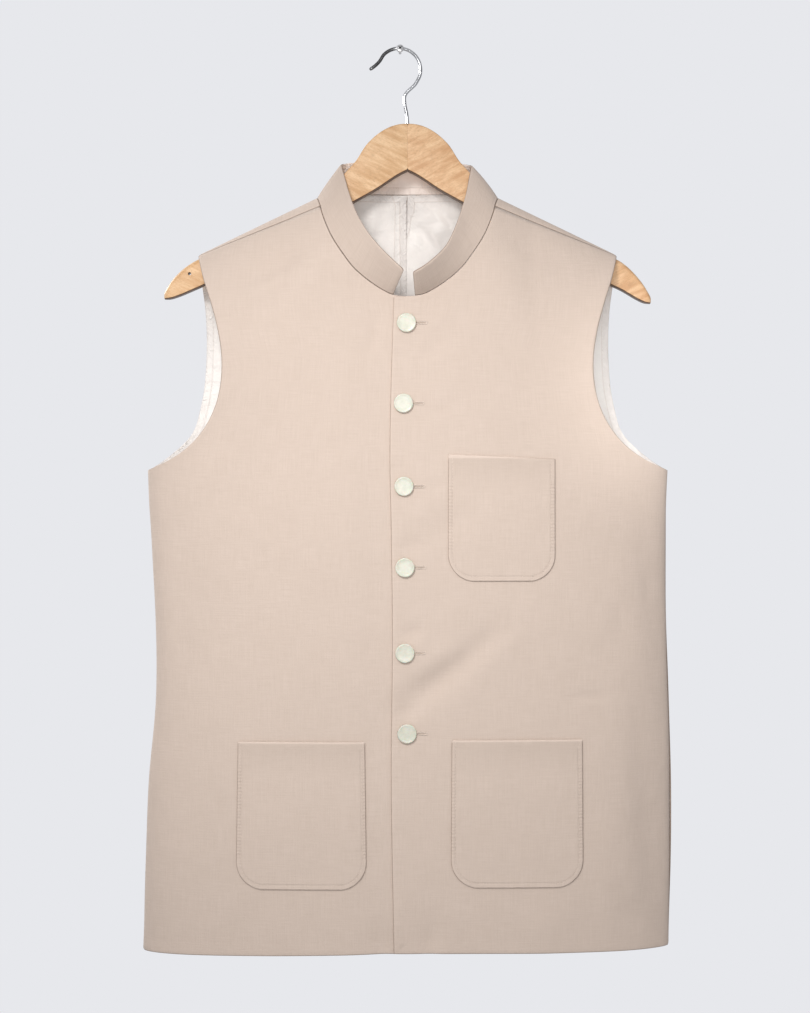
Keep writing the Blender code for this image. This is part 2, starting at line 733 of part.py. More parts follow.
def build_buttons(fronts, material):
    surface = panel_surface(fronts[LEFT])
    rim_top = BUTTON_EDGE_THICK
    profile = [
        (0.0, rim_top - BUTTON_DISH),
        (BUTTON_RADIUS - 2 * BUTTON_RIM, rim_top - BUTTON_DISH),
        (BUTTON_RADIUS - 1.3 * BUTTON_RIM, rim_top),
        (BUTTON_RADIUS - 0.4 * BUTTON_RIM, rim_top),
        (BUTTON_RADIUS, rim_top - 0.4 * BUTTON_RIM),
        (BUTTON_RADIUS, 0.4 * rim_top),
        (BUTTON_BACK_RADIUS, 0.0),
        (0.0, 0.0),
    ]
    for number, button in enumerate(BUTTONS, 1):
        obj = on_garment(turned(f"button_{number}", profile, BUTTON_SIDES, material))
        point, normal = lie_on(surface, button.x, button.z)
        obj.rotation_mode = "QUATERNION"
        obj.rotation_quaternion = normal.to_track_quat("Z", "Y")
        obj.location = (point + normal * BUTTON_GAP) * MM


def hanger_stations():
    """The hanger's top and bottom lines from the joint to the tip."""
    rows = list(HANGER)
    slope_start = rows[-1]
    for i in range(1, HANGER_SLOPE_STEPS + 1):
        share = i / HANGER_SLOPE_STEPS
        x = slope_start.x + (HANGER_BOTTOM_SLOPE_X - slope_start.x) * share
        bottom = slope_start.bottom + (HANGER_BOTTOM_SLOPE_Z - slope_start.bottom) * share
        rows.append(HangerRow(x, ridge_z(x) - HANGER_UNDER_CLOTH, bottom))
    return rows + HANGER_TIP


def build_hanger(materials):
    """Two shaped halves with a rounded section, each closed at the joint and at its tip."""
    for name, side in (("hanger_right", RIGHT), ("hanger_left", LEFT)):
        mesh_builder = bmesh.new()
        rings = []
        for row in hanger_stations():
            x = side * max(row.x, HANGER_JOINT_GAP / 2)
            middle, half_height = (row.top + row.bottom) / 2, (row.top - row.bottom) / 2
            half_thick = min(HANGER_HALF_THICK, half_height)
            if side == LEFT:
                middle -= HANGER_TIP_DROP_LEFT * smooth_step(RIDGE_TIP_X, HANGER_TIP[-1].x, row.x)
            ring = []
            for i in range(HANGER_SIDES):
                turn = 2 * math.pi * (i + 0.5) / HANGER_SIDES
                straight = math.copysign(half_height - half_thick, math.sin(turn))
                z = middle + straight + half_thick * math.sin(turn)
                point = Vector((x, half_thick * math.cos(turn), z))
                ring.append(mesh_builder.verts.new(point * MM))
            rings.append(ring)
        for near, far in zip(rings, rings[1:]):
            for i in range(HANGER_SIDES):
                j = (i + 1) % HANGER_SIDES
                mesh_builder.faces.new((near[i], near[j], far[j], far[i]))
        mesh_builder.faces.new(rings[0])
        mesh_builder.faces.new(rings[-1])
        bmesh.ops.recalc_face_normals(mesh_builder, faces=mesh_builder.faces)
        on_garment(add_object(name, mesh_builder, materials[side]))


def tube(name, points, radius, material, resolution=2):
    """A round wire along the points."""
    curve = bpy.data.curves.new(name, "CURVE")
    curve.dimensions = "3D"
    curve.bevel_depth = radius * MM
    curve.bevel_resolution = resolution
    curve.use_fill_caps = True
    spline = curve.splines.new("POLY")
    spline.points.add(len(points) - 1)
    for spline_point, point in zip(spline.points, points):
        spline_point.co = (*(Vector(point) * MM), 1.0)
    curve.materials.append(material)
    obj = bpy.data.objects.new(name, curve)
    PARTS.objects.link(obj)
    return obj


def build_hook(material):
    """The shank rises from the wood into three quarters of a circle, its crown at the origin."""
    centre_z = WIRE_RADIUS - HOOK_ARC_RADIUS
    route = [np.array((x, 0.0, z)) for x, z in HOOK_SHANK]
    for i in range(HOOK_ARC_STEPS + 1):
        share = i / HOOK_ARC_STEPS
        turn = math.radians(HOOK_ARC_START + (HOOK_ARC_END - HOOK_ARC_START) * share)
        x = HOOK_ARC_CENTRE_X + HOOK_ARC_RADIUS * math.cos(turn)
        route.append(np.array((x, 0.0, centre_z + HOOK_ARC_RADIUS * math.sin(turn))))
    route += [np.array((x, 0.0, z)) for x, z in HOOK_TAIL]
    steps = np.linalg.norm(np.diff(route, axis=0), axis=1)
    keys = np.concatenate(([0.0], np.cumsum(steps)))
    shares = [i / HOOK_STATIONS for i in range(HOOK_STATIONS + 1)]
    points = [smooth_curve(keys, route, keys[-1] * share) for share in shares]
    tube("hanger_hook", points, WIRE_RADIUS, material)


def build_screw(material):
    """A pan-head screw that leans out of the wall, with a cross recess in its head."""
    tilt = math.radians(SCREW_TILT)
    drop = HOOK_SEAT_GAP + SCREW_SHANK_RADIUS / math.cos(tilt)
    head_distance = -SCREW_HEAD_Y / math.cos(tilt)
    length = head_distance + SCREW_END_Y / math.cos(tilt)
    top = SCREW_HEAD_HEIGHT
    profile = [
        (0.0, top),
        (0.55 * SCREW_HEAD_RADIUS, 0.93 * top),
        (0.85 * SCREW_HEAD_RADIUS, 0.66 * top),
        (SCREW_HEAD_RADIUS, 0.2 * top),
        (SCREW_HEAD_RADIUS, 0.0),
        (SCREW_SHANK_RADIUS, 0.0),
        (SCREW_SHANK_RADIUS, -length),
        (0.0, -length),
    ]
    screw = turned("wall_screw", profile, SCREW_SIDES, material)
    screw.rotation_euler = (math.radians(90) - tilt, 0.0, 0.0)
    head_rise = -SCREW_HEAD_Y * math.tan(tilt)
    screw.location = Vector((0.0, SCREW_HEAD_Y, head_rise - drop)) * MM
    for name, wide, tall in (
        ("recess_across", SCREW_RECESS_LONG, SCREW_RECESS_WIDE),
        ("recess_upright", SCREW_RECESS_WIDE, SCREW_RECESS_LONG),
    ):
        builder = bmesh.new()
        bmesh.ops.create_cube(builder, size=1.0)
        size = Vector((wide, tall, 2 * SCREW_RECESS_DEEP)) * MM
        bmesh.ops.scale(builder, vec=size, verts=builder.verts)
        mesh = bpy.data.meshes.new(name)
        builder.to_mesh(mesh)
        builder.free()
        cutter = bpy.data.objects.new(name, mesh)
        CUTTERS.objects.link(cutter)
        cutter.hide_render = True
        cutter.display_type = "WIRE"
        cutter.parent = screw
        cutter.location = (0.0, 0.0, top * MM)
        cut = screw.modifiers.new(name, "BOOLEAN")
        cut.operation = "DIFFERENCE"
        cut.object = cutter


for old in list(bpy.data.objects):
    bpy.data.objects.remove(old, do_unlink=True)
PARTS = bpy.data.collections.new("waistcoat_on_hanger")
CUTTERS = bpy.data.collections.new("cutters")
bpy.context.scene.collection.children.link(PARTS)
bpy.context.scene.collection.children.link(CUTTERS)
GARMENT = bpy.data.objects.new("garment_place", None)
GARMENT.location = (GARMENT_CENTRE_X * MM, 0.0, 0.0)
PARTS.objects.link(GARMENT)

suiting = make_material("suiting", (0.71, 0.58, 0.51), 0.85)
satin = make_material("satin", (0.86, 0.80, 0.74), 0.4)
button_plastic = make_material("button_plastic", (0.78, 0.79, 0.64), 0.35)
chrome = make_material("chrome", (0.75, 0.75, 0.75), 0.15, 1.0)
screw_steel = make_material("screw_steel", (0.45, 0.45, 0.46), 0.35, 1.0)
wood_light = make_material("wood_light", (0.80, 0.55, 0.33), 0.45)
wood_warm = make_material("wood_warm", (0.76, 0.50, 0.30), 0.45)

front_panels = build_fronts(suiting)
build_back(suiting)
build_linings(satin)
build_collar(suiting)
build_pockets(front_panels, suiting)
build_buttons(front_panels, button_plastic)
build_hanger({RIGHT: wood_light, LEFT: wood_warm})
build_hook(chrome)
build_screw(screw_steel)
bpy.context.view_layer.update()
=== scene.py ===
"""The waistcoat's looks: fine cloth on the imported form, stitching, buttons, wood, wire and light.

The tables are in millimetres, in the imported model's frame: the garment faces -Y, the wearer's left
is +X and the origin is the inside crown of the hanger's hook. A garment's x is counted from its
own centre line.
"""

import math
from collections import namedtuple

import bpy
import numpy as np
from mathutils import Matrix, Vector
from mathutils.kdtree import KDTree


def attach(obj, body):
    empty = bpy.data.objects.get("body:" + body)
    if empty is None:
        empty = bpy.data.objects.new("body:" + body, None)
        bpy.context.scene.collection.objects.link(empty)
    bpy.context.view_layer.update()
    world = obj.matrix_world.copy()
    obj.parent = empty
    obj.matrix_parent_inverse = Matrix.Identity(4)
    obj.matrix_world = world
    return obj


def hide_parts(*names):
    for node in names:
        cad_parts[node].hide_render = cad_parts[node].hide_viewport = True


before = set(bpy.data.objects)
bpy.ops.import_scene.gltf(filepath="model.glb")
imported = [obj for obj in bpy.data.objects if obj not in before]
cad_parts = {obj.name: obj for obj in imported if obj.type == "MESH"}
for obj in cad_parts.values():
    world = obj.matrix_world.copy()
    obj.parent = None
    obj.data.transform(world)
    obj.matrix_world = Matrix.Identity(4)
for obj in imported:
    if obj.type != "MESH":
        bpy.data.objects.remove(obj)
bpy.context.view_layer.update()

MM = 0.001

RIGHT, LEFT = -1, 1
FRONT, BACK = -1, 1


def table(row_kind, *rows):
    return [row_kind(*row) for row in rows]


# The photograph: its height in pixels, its scale in the plane of the hanger, the camera's place
PHOTO_HEIGHT = 1013
PIXEL = 0.93
CAMERA_X, CAMERA_DISTANCE, CAMERA_Z = 4.65, 1600.0, -424.5
SENSOR = 36.0

# The cloth's thicknesses and gaps, and its form as it hangs
CLOTH, LINING_CLOTH, COLLAR_CLOTH, POCKET_CLOTH = 1.6, 0.5, 2.4, 1.2
SEAM_GAP = 0.3
LINING_INSET = CLOTH + SEAM_GAP
FACET_ROOM = 0.15
GARMENT_CENTRE_X = 7.0
GARMENT_CENTRE = (GARMENT_CENTRE_X, 0.0, 0.0)
FRONT_DEPTH, BACK_DEPTH = 38.0, 33.0
RIDGE_ROUNDING, NECK_ROUNDING = 9.6, 7.0
NECK_ROUNDING_FULL_X, NECK_ROUNDING_END_X = 72.0, 120.0
CENTRE_ROUNDING = 20.0
RIDGE_NECK_X, RIDGE_NECK_Z = 84.0, -138.0
RIDGE_TIP_X, RIDGE_TIP_Z = 194.0, -191.0
UNDERARM_Z = -391.0
SIDE_FADE_Z = -215.0
HEM_Z, HEM_DROP_RIGHT = -831.0, 4.5
BACK_NECK_Z, BACK_NECK_DROP = -130.0, 8.0
SHOULDER_SEAM_NECK, SHOULDER_SEAM_TIP = 12.0, 1.4
SEAM_NECK_X = 80.3
SEAM_HALF_STEP = 0.15
UNDERLAP_X = -16.0
UNDERLAP_FULL_X, UNDERLAP_START_X = 24.0, 60.0
UNDERLAP_PUSH = CLOTH + SEAM_GAP + FACET_ROOM
LINING_UNDER_X, LINING_FOLD_X = -15.6, 1.0
UNDER_LINING_INSET = 0.3
PLEAT_LIFT = UNDER_LINING_INSET + LINING_CLOTH + SEAM_GAP
PLEAT_STITCH_X = -15.1
PLEAT_FULL_X, PLEAT_START_X = 18.0, 45.0
FRONT_ARMHOLE_BELOW_NECK, BACK_ARMHOLE_BELOW_NECK = 0.52, 0.56

SideRow = namedtuple("SideRow", "z right left")
SIDE_FOLDS = table(
    SideRow,
    (-831, 245.5, 243.5), (-753, 243.0, 245.0), (-679, 240.5, 245.0), (-605, 234.0, 243.0),
    (-530, 234.0, 241.0), (-456, 237.5, 240.0), (-418, 240.5, 240.5), (-391, 241.5, 241.5),
)

OutlineRow = namedtuple("OutlineRow", "x z")
FRONT_ARMHOLE = table(
    OutlineRow,
    (241.5, -391), (224, -384), (208, -375), (195, -364), (184, -350), (174.5, -330), (170, -308),
    (169.5, -290), (173.5, -262), (181, -235), (187, -217), (194, -192.4),
)
BACK_ARMHOLE = table(
    OutlineRow,
    (241.5, -391), (222, -376), (202, -354), (195.5, -332), (192, -312), (190.5, -290),
    (190, -262), (191, -239), (193.5, -214), (194, -191.4),
)
NECKLINE = table(
    OutlineRow,
    (-18, -235.0), (-12.5, -234.0), (0, -233.3), (7, -232.8), (14, -231.6), (23.6, -227),
    (35.7, -219), (48.6, -208), (60.1, -193), (69.2, -178.5), (75.2, -165), (80.3, -150),
)
FRONT_EDGE = table(
    OutlineRow,
    (-12.5, -831), (-15.0, -680), (-14.0, -530), (-15.0, -450), (-16.2, -372), (-15.3, -320),
    (-12.5, -234),
)

# Soft troughs and ridges from one point to another. The first of each side are those of the packed
# form, the others finer creases: drags from the shoulders, pulls at the buttons, falls to the hem
Fold = namedtuple("Fold", "x0 z0 x1 z1 width depth")
FOLDS = {
    FRONT: table(
        Fold,
        (-76, -182, -160, -216, 13, -2.4), (96, -182, 154, -206, 12, -1.4),
        (20, -592, 86, -533, 13, -2.6), (10, -575, 52, -548, 10, 1.4),
        (10, -458, 62, -428, 12, -1.2), (205, -560, 222, -800, 20, -2.0),
        (-196, -470, -212, -590, 18, -1.6), (-92, -204, -156, -240, 8, 1.6),
        (-84, -186, -164, -226, 9, -1.6), (10, -602, 70, -548, 9, -1.2),
        (-10, -612, 34, -576, 12, -3.4), (0, -540, 13, -537, 6, -2.2),
        (-4, -613, 9, -609, 6, -2.0), (-3, -461, 11, -459, 6, -1.3),
        (-26, -250, -34, -285, 6, -0.9), (30, -276, 12, -292, 5, -0.8),
        (16, -270, 34, -250, 5, 0.5), (14, -340, 44, -330, 6, -0.5), (14, -412, 40, -398, 6, -0.6),
        (8, -560, 22, -528, 5, 0.8), (62, -575, 104, -540, 7, 0.7),
        (148, -597.5, 182, -598.5, 3.0, -1.2), (150, -336, 176, -356, 8, -1.2),
        (160, -350, 200, -392, 9, 0.8), (-158, -330, -196, -374, 9, -0.9),
        (-174, -380, -206, -430, 12, 0.9), (186, -512, 204, -548, 10, -1.0),
        (-26, -806, -20, -836, 9, -2.0), (24, -800, 18, -836, 9, -2.0),
        (196, -784, 212, -812, 13, -1.6), (-4, -752, -6, -832, 11, 0.9),
        (-180, -640, -192, -820, 16, -0.9), (-120, -790, -126, -834, 16, 0.8),
        (128, -786, 120, -834, 18, 0.9), (176, -640, 186, -830, 14, 1.0),
        (233, -500, 237, -826, 15, -1.8), (198, -560, 208, -826, 16, 1.6),
        (214, -620, 226, -828, 14, -1.0), (216, -430, 228, -560, 12, -1.2),
    ),
    BACK: table(
        Fold,
        (-150, -235, -95, -300, 15, -2.2), (148, -240, 88, -318, 16, -2.5),
        (-205, -520, -120, -600, 20, -2.2), (196, -470, 130, -560, 18, -1.8),
        (-60, -560, -66, -810, 24, 2.4), (78, -600, 92, -815, 26, 2.8),
        (-40, -190, -120, -215, 10, -1.6), (44, -186, 126, -218, 9, -1.8),
        (-168, -262, -96, -352, 9, -2.2), (170, -270, 92, -372, 10, -2.4),
        (-176, -300, -140, -360, 9, 1.6), (176, -306, 150, -372, 10, 1.6),
        (-214, -404, -110, -470, 12, -2.6), (216, -400, 124, -452, 11, -2.2),
        (-4, -300, 2, -640, 10, 1.2), (-34, -420, -52, -700, 16, -1.8),
        (40, -500, 58, -760, 18, -2.0), (-120, -640, -134, -830, 18, -2.6),
        (150, -660, 160, -830, 16, -2.8), (20, -690, 26, -832, 14, -2.2),
        (-190, -690, -196, -830, 14, 1.1),
    ),
}
FOLD_END_DEPTH = 0.35

# The back lining's own creases, which lift it off the back towards the neck opening
LINING_CREASES = table(
    Fold,
    (10, -135, 31, -181, 4.5, 4.6), (24, -144, 44, -172, 4.0, 4.0), (46, -133, 50, -174, 6, 3.0),
    (3, -155, 13, -156, 3.0, 2.8), (3, -177, 15, -176, 3.0, 3.0), (-30, -134, -36, -172, 6, 2.6),
    (3, -212, 26, -208, 3.0, 0.7), (-186, -240, -172, -330, 5, 1.2),
    (-200, -350, -184, -372, 5, 1.1), (184, -236, 176, -320, 5, 1.2),
    (196, -344, 180, -366, 5, 1.1),
)
# On the half that runs under the pleat they start beside it
UNDER_CREASES_START_X, UNDER_CREASES_FULL_X = -1.0, 4.0

# Uneven long waves that keep any stretch of cloth from being quite even. They start below the
# shoulder ridge, and the turn sets the back's apart from the front's
WAVES_START_BELOW, WAVES_FULL_BELOW, WAVE_TURN = 8.0, 60.0, 0.8
Wave = namedtuple("Wave", "across down start height")
WAVES = table(
    Wave,
    (0.021, 0.009, 0.4, 0.32), (-0.034, 0.017, 2.1, 0.24), (0.058, 0.026, 4.0, 0.14),
    (0.012, -0.047, 1.2, 0.16), (-0.083, 0.061, 5.1, 0.07),
)

CollarRow = namedtuple("CollarRow", "facing foot_x right left")
COLLAR_ROWS = [
    CollarRow(BACK, 0, (0, 20, -98.5), (0, 20, -98.5)),
    CollarRow(BACK, 30, (25, 19, -99.3), (24, 19, -99.8)),
    CollarRow(BACK, 57, (45, 16, -101.2), (43.5, 16, -102)),
    CollarRow(BACK, 76, (59, 9, -104), (57, 9, -105)),
    CollarRow(FRONT, 83.6, (61.8, -2, -107.5), (59.6, -2, -108.5)),
    CollarRow(FRONT, 80.3, (58.3, -11, -120), (57, -11.5, -121.5)),
    CollarRow(FRONT, 75.2, (54, -20, -135), (53.5, -21, -138)),
    CollarRow(FRONT, 69.2, (49.5, -29, -149), (49.3, -31, -153)),
    CollarRow(FRONT, 60.1, (43, -38, -164), (43.5, -43, -171)),
    CollarRow(FRONT, 48.6, (33.5, -47, -180), (35.5, -52, -189)),
    CollarRow(FRONT, 35.7, (23, -54, -193.5), (26.3, -57, -200)),
    CollarRow(FRONT, 23.6, (12.7, -58, -204.5), (15.8, -61, -209.2)),
]
COLLAR_END_RIGHT = CollarRow(FRONT, 13.2, (3.6, -61, -213.4), None)
COLLAR_END_LEFT = CollarRow(FRONT, 6.7, None, (4.8, -63, -215.8))
COLLAR_SEAM_GAP, COLLAR_CORNER, COLLAR_BULGE = 0.4, 2.0, 1.0
COLLAR_RUN, COLLAR_BEND_END = 4.0, 0.4
COLLAR_RIPPLE, COLLAR_RIPPLE_RUN = 0.35, 17.0
# Its rows, as shares of the height: even ones and then closer ones at the rolled edge
COLLAR_ROWS_UP, COLLAR_EVEN_ROWS, COLLAR_LAST_ROWS = 26, (0.02, 0.96), (0.985, 1.0)

Pocket = namedtuple("Pocket", "name side centre_x top_z tilt top_width width height corner")
POCKETS = [
    Pocket("pocket_breast", LEFT, 85.5, -379.2, 2.0, 97.0, 97.5, 113.0, 24.0),
    Pocket("pocket_lower_right", RIGHT, -96.6, -638.5, 0.0, 115.5, 119.0, 134.0, 25.0),
    Pocket("pocket_lower_left", LEFT, 99.6, -636.6, 0.0, 119.0, 120.5, 134.0, 25.0),
]
POCKET_GAP = 0.36
POCKET_PUFF, POCKET_PUFF_RUN = 0.7, 0.9
POCKET_GAPE, POCKET_GAPE_START = 0.5, 0.8
POCKET_STITCH_INSET, POCKET_STITCH_LIFT, POCKET_STITCH_TOP = 4.0, 0.02, 0.6
STITCH_CORNER_STEPS, STITCH_SIDE_STEPS = 24, 60
# A pocket's rows and columns, as shares: even ones and then closer ones at the rolled edges
POCKET_CORNER_ROWS, POCKET_ROWS, POCKET_COLUMNS = 18, 44, 50
POCKET_ROWS_END, POCKET_LAST_ROWS = 0.985, (0.993, 1.0)
POCKET_COLUMNS_END, POCKET_LAST_COLUMNS = 0.97, (0.988, 1.0)

STITCH_LENGTH, STITCH_PITCH, STITCH_RADIUS = 2.2, 3.0, 0.2
STITCH_RUN = 0.5  # how far to each side a line's direction is taken
# A stitch's rings: the place along the thread, the share of the radius, the height in radii
STITCH_RINGS = (
    (-0.5, 0.3, -0.6), (-0.32, 0.9, 0.2), (0.0, 1.0, 0.5), (0.32, 0.9, 0.2), (0.5, 0.3, -0.6),
)
STITCH_SIDES = 6

ButtonRow = namedtuple("ButtonRow", "x z")
BUTTONS = table(
    ButtonRow,
    (-1.0, -257.7), (-3.7, -330.8), (-3.3, -406.3), (-2.4, -480.0), (-2.4, -557.7), (-0.5, -630.8),
)
BUTTON_GAP = 0.39
BUTTON_SIDES = 56
# A button's radius and height, from the middle of its face over the rim to the middle of its back
BUTTON_PROFILE = (
    (0.0, 2.22), (2.0, 2.23), (4.0, 2.26), (5.6, 2.32), (6.6, 2.42), (7.1, 2.52), (7.6, 2.66),
    (7.95, 2.68), (8.3, 2.56), (8.6, 2.25), (8.78, 1.8), (8.8, 1.3), (8.5, 0.7), (7.6, 0.1),
    (7.0, 0.0), (0.0, 0.0),
)

# The buttonhole runs outwards from the button's middle. Its threads lie square to the slit, at
# both sides of it and fanned round its end
BUTTONHOLE_LONG = 18.0
HOLE_THREAD_PITCH, HOLE_THREAD_LONG, HOLE_THREAD_RADIUS, HOLE_THREAD_LIFT = 0.55, 1.5, 0.27, 0.12
HOLE_THREAD_AWAY = 1.05
HOLE_END_LONG, HOLE_END_HIGH, HOLE_END_TURNS = 0.75, 1.0, range(-75, 76, 25)
SLIT_RADIUS, SLIT_LIFT = 0.3, 0.02

HangerRow = namedtuple("HangerRow", "x top bottom")
HANGER = table(
    HangerRow,
    (0, -69.3, -112.5), (8, -69.9, -116.5), (16, -72.2, -121.5), (24, -76.4, -127.0),
    (32, -82.6, -132.0), (39, -90.0, -136.0), (47.4, -103.2, -140.6), (57, -114.0, -145.9),
    (68, -127.8, -152.0), (76, -136.6, -156.4), (86, -143.2, -161.9),
)
HANGER_BOTTOM_SLOPE_X, HANGER_BOTTOM_SLOPE_Z = 186.0, -217.6
HANGER_SLOPE_STEPS = 9
HANGER_TIP = table(
    HangerRow,
    (200.0, -197.9, -224.0), (212.0, -207.0, -229.0), (220.0, -216.0, -231.5),
    (225.5, -225.0, -232.0),
)
HANGER_HALF_THICK, HANGER_UNDER_CLOTH = 6.0, 4.0
CORNER_TURNS = np.linspace(0.0, np.pi / 2, 7)
TOP_CORNER, BOTTOM_CORNER = 2.2, 1.5
TOP_ROUND_START_X, TOP_ROUND_FULL_X = 60.0, 78.0
TIP_DROP = {RIGHT: 0.0, LEFT: 4.0}
TIP_CLOSING = (0.85, 0.5)  # the last sections' shares of the tip's own
JOINT_GAP, JOINT_GROOVE = 0.04, 0.5
# The sections' places: a few close to the joint, then even ones
JOINT_STATIONS, EVEN_STATIONS_START, EVEN_STATIONS = (0.0, 0.35, 0.8), 1.8, 110
# Faces that look down this much have the darker wood as painted shade, and those that look towards
# the joint have it as end grain
UNDERSIDE_SHADE_FACING, JOINT_FACING = -0.4, -0.6
PEG_HOLE_X, PEG_HOLE_Z, PEG_HOLE_RADIUS, PEG_HOLE_LONG, PEG_HOLE_SIDES = 202.0, -208.8, 1.5, 8.0, 20

WIRE_RADIUS = 1.6
HOOK_ARC_CENTRE_X, HOOK_ARC_RADIUS = -0.8, 20.0
HOOK_ARC_START, HOOK_ARC_END = -38.0, 158.0
HOOK_SHANK = [(7.07, -69.0), (6.3, -60.0), (4.4, -50.0), (4.3, -43.5)]
HOOK_TAIL = [(-22.6, -14.2), (-28.2, -18.4)]

WIRE_STATIONS, WIRE_SIDES, HOOK_ARC_STEPS = 150, 20, 9
WIRE_END_SHARES = (0.97, 0.85, 0.55)
# Where the crown rubs the screw: low and high x, low and high z
CROWN_TARNISH = (-7.0, 0.0, -34.0, -14.0)

HOOK_SEAT_GAP = 0.42
SCREW_TILT, SCREW_TURN, SCREW_SIDES = 9.0, 40.0, 48
SCREW_SHANK_RADIUS, SCREW_HEAD_RADIUS, SCREW_HEAD_HEIGHT = 1.3, 3.7, 1.9
SCREW_HEAD_Y, SCREW_END_Y = -7.2, 3.2
SCREW_END_SHARE, SCREW_END_BEVEL = 0.6, 0.5
SCREW_RECESS_LONG, SCREW_RECESS_WIDE, SCREW_RECESS_DEEP = 3.8, 0.9, 1.1
# The head's profile, as shares of its radius and its height
SCREW_HEAD = (
    (0.97, 0.0), (1.0, 0.15), (1.0, 0.3), (0.94, 0.58), (0.78, 0.82), (0.5, 0.95), (0.2, 1.0),
)

# Angles in degrees over which an edge is drawn sharp, and how far a cutter stands out of its solid
SHARP_LOFT, SHARP_CUT, CUT_ROOM = 50.0, 40.0, 1.0

# How finely the cloth is divided
COLUMNS, BODY_ROWS, CHEST_ROWS, SHOULDER_ROWS, RIDGE_ROWS = 88, 104, 48, 40, 12
EDGE_SHARES = (0.0, 0.0028, 0.0075)
EDGE_INS = (0.34, 0.1)
SEAM_COUNT_FULL = 14.0
BACK_NECK_CROWDING, ROWS_TOWARDS_RIDGE, ROWS_OVER_RIDGE = 1.6, 1.9, 1.4


def smooth_step(low, high, value):
    share = np.clip((np.asarray(value, float) - low) / (high - low), 0.0, 1.0)
    return share * share * (3 - 2 * share)


def smooth_curve(keys, values, at):
    """A cubic through the values at rising keys, its slopes taken from their neighbours."""
    keys, values, at = (np.asarray(part, float) for part in (keys, values, at))
    slopes = np.gradient(values, keys, axis=0)
    i = np.clip(np.searchsorted(keys, at) - 1, 0, len(keys) - 2)
    span = keys[i + 1] - keys[i]
    t = (at - keys[i]) / span
    if values.ndim > 1:
        span, t = span[..., None], t[..., None]
    return (
        (1 + 2 * t) * (1 - t) ** 2 * values[i]
        + t * (1 - t) ** 2 * span * slopes[i]
        + t * t * (3 - 2 * t) * values[i + 1]
        + t * t * (t - 1) * span * slopes[i + 1]
    )


def unit(vectors):
    return vectors / np.linalg.norm(vectors, axis=-1, keepdims=True)


def circle(sides):
    """The turns at which a round form of so many sides has its points."""
    return 2 * np.pi * np.arange(sides) / sides


def lengths_along(points):
    steps = np.linalg.norm(np.diff(points, axis=0), axis=1)
    return np.concatenate(([0.0], np.cumsum(steps)))


def between_points(at, keys, points):
    """The points' coordinates at places between their keys."""
    return np.stack([np.interp(at, keys, column) for column in points.T], axis=-1)


def along_outline(rows, share):
    points = np.array([(row.x, row.z) for row in rows], float)
    keys = lengths_along(points)
    return smooth_curve(keys / keys[-1], points, share)


def half_width(side, z):
    column = "right" if side == RIGHT else "left"
    widths = [getattr(row, column) for row in SIDE_FOLDS]
    return smooth_curve([row.z for row in SIDE_FOLDS], widths, np.minimum(z, SIDE_FOLDS[-1].z))


def ridge_z(x):
    """The height of the shoulder ridge, the highest line of the cloth."""

    def run(distance):
        return np.hypot(distance, CENTRE_ROUNDING) - CENTRE_ROUNDING

    slope = (RIDGE_NECK_Z - RIDGE_TIP_Z) / (run(RIDGE_TIP_X) - run(RIDGE_NECK_X))
    return RIDGE_NECK_Z + slope * (run(RIDGE_NECK_X) - run(x))


def hem_z(side, share):
    return HEM_Z - (HEM_DROP_RIGHT * smooth_step(0.0, 1.0, share) if side == RIGHT else 0.0)


def depth_squared(side, facing, x, z):
    """The cloth's depth, squared: round over the ridge, flat below it and round at the side."""
    depth = np.where(facing == FRONT, FRONT_DEPTH, BACK_DEPTH)
    neck = 1 - smooth_step(NECK_ROUNDING_FULL_X, NECK_ROUNDING_END_X, abs(x))
    reach = depth**2 / (RIDGE_ROUNDING + NECK_ROUNDING * neck)
    below = np.minimum(1.0, (ridge_z(x) - z) / reach)
    over_ridge = 1 - (1 - below) ** 2
    fade = smooth_step(SIDE_FADE_Z, UNDERARM_Z, z)
    round_side = 1 - fade * (abs(x) / half_width(side, z)) ** 3
    return depth**2 * over_ridge * round_side


def folds_at(folds, side, x, z):
    total = np.zeros(np.shape(x))
    for fold in folds:
        run = np.array((fold.x1 - fold.x0, fold.z1 - fold.z0))
        to_x, to_z = side * x - fold.x0, z - fold.z0
        share = np.clip((to_x * run[0] + to_z * run[1]) / (run @ run), 0.0, 1.0)
        across = np.hypot(to_x - share * run[0], to_z - share * run[1])
        ends = FOLD_END_DEPTH + (1 - FOLD_END_DEPTH) * np.sin(np.pi * share)
        total += fold.depth * ends * np.exp(-((across / fold.width) ** 2))
    return total


def fold_height(side, facing, x, z):
    """How far folds, creases and waves move the cloth outwards here."""
    on_front, on_back = (folds_at(FOLDS[way], side, x, z) for way in (FRONT, BACK))
    total = np.where(facing == FRONT, on_front, on_back)
    below_ridge = smooth_step(WAVES_START_BELOW, WAVES_FULL_BELOW, ridge_z(x) - z)
    for wave in WAVES:
        turn = wave.across * side * x + wave.down * z + wave.start + WAVE_TURN * facing
        total += wave.height * below_ridge * np.sin(turn)
    return total


def cloth(side, facing, x, z, inset=0.0):
    """Points of the garment's cloth and the way they face, x counted outwards."""
    step = 0.01
    seam = SEAM_GAP / 2 * smooth_step(SIDE_FADE_Z, UNDERARM_Z, z)
    y = facing * np.sqrt(np.maximum(0.0, depth_squared(side, facing, x, z)))
    near_x = depth_squared(side, facing, x + step, z) - depth_squared(side, facing, x - step, z)
    near_z = depth_squared(side, facing, x, z + step) - depth_squared(side, facing, x, z - step)
    normal = unit(np.stack([-side * near_x / (2 * step), 2 * y, -near_z / (2 * step)], axis=-1))
    point = np.stack([side * x, y + facing * seam, z], axis=-1)
    out = fold_height(side, facing, x, z) - inset
    return point + normal * np.asarray(out)[..., None], normal


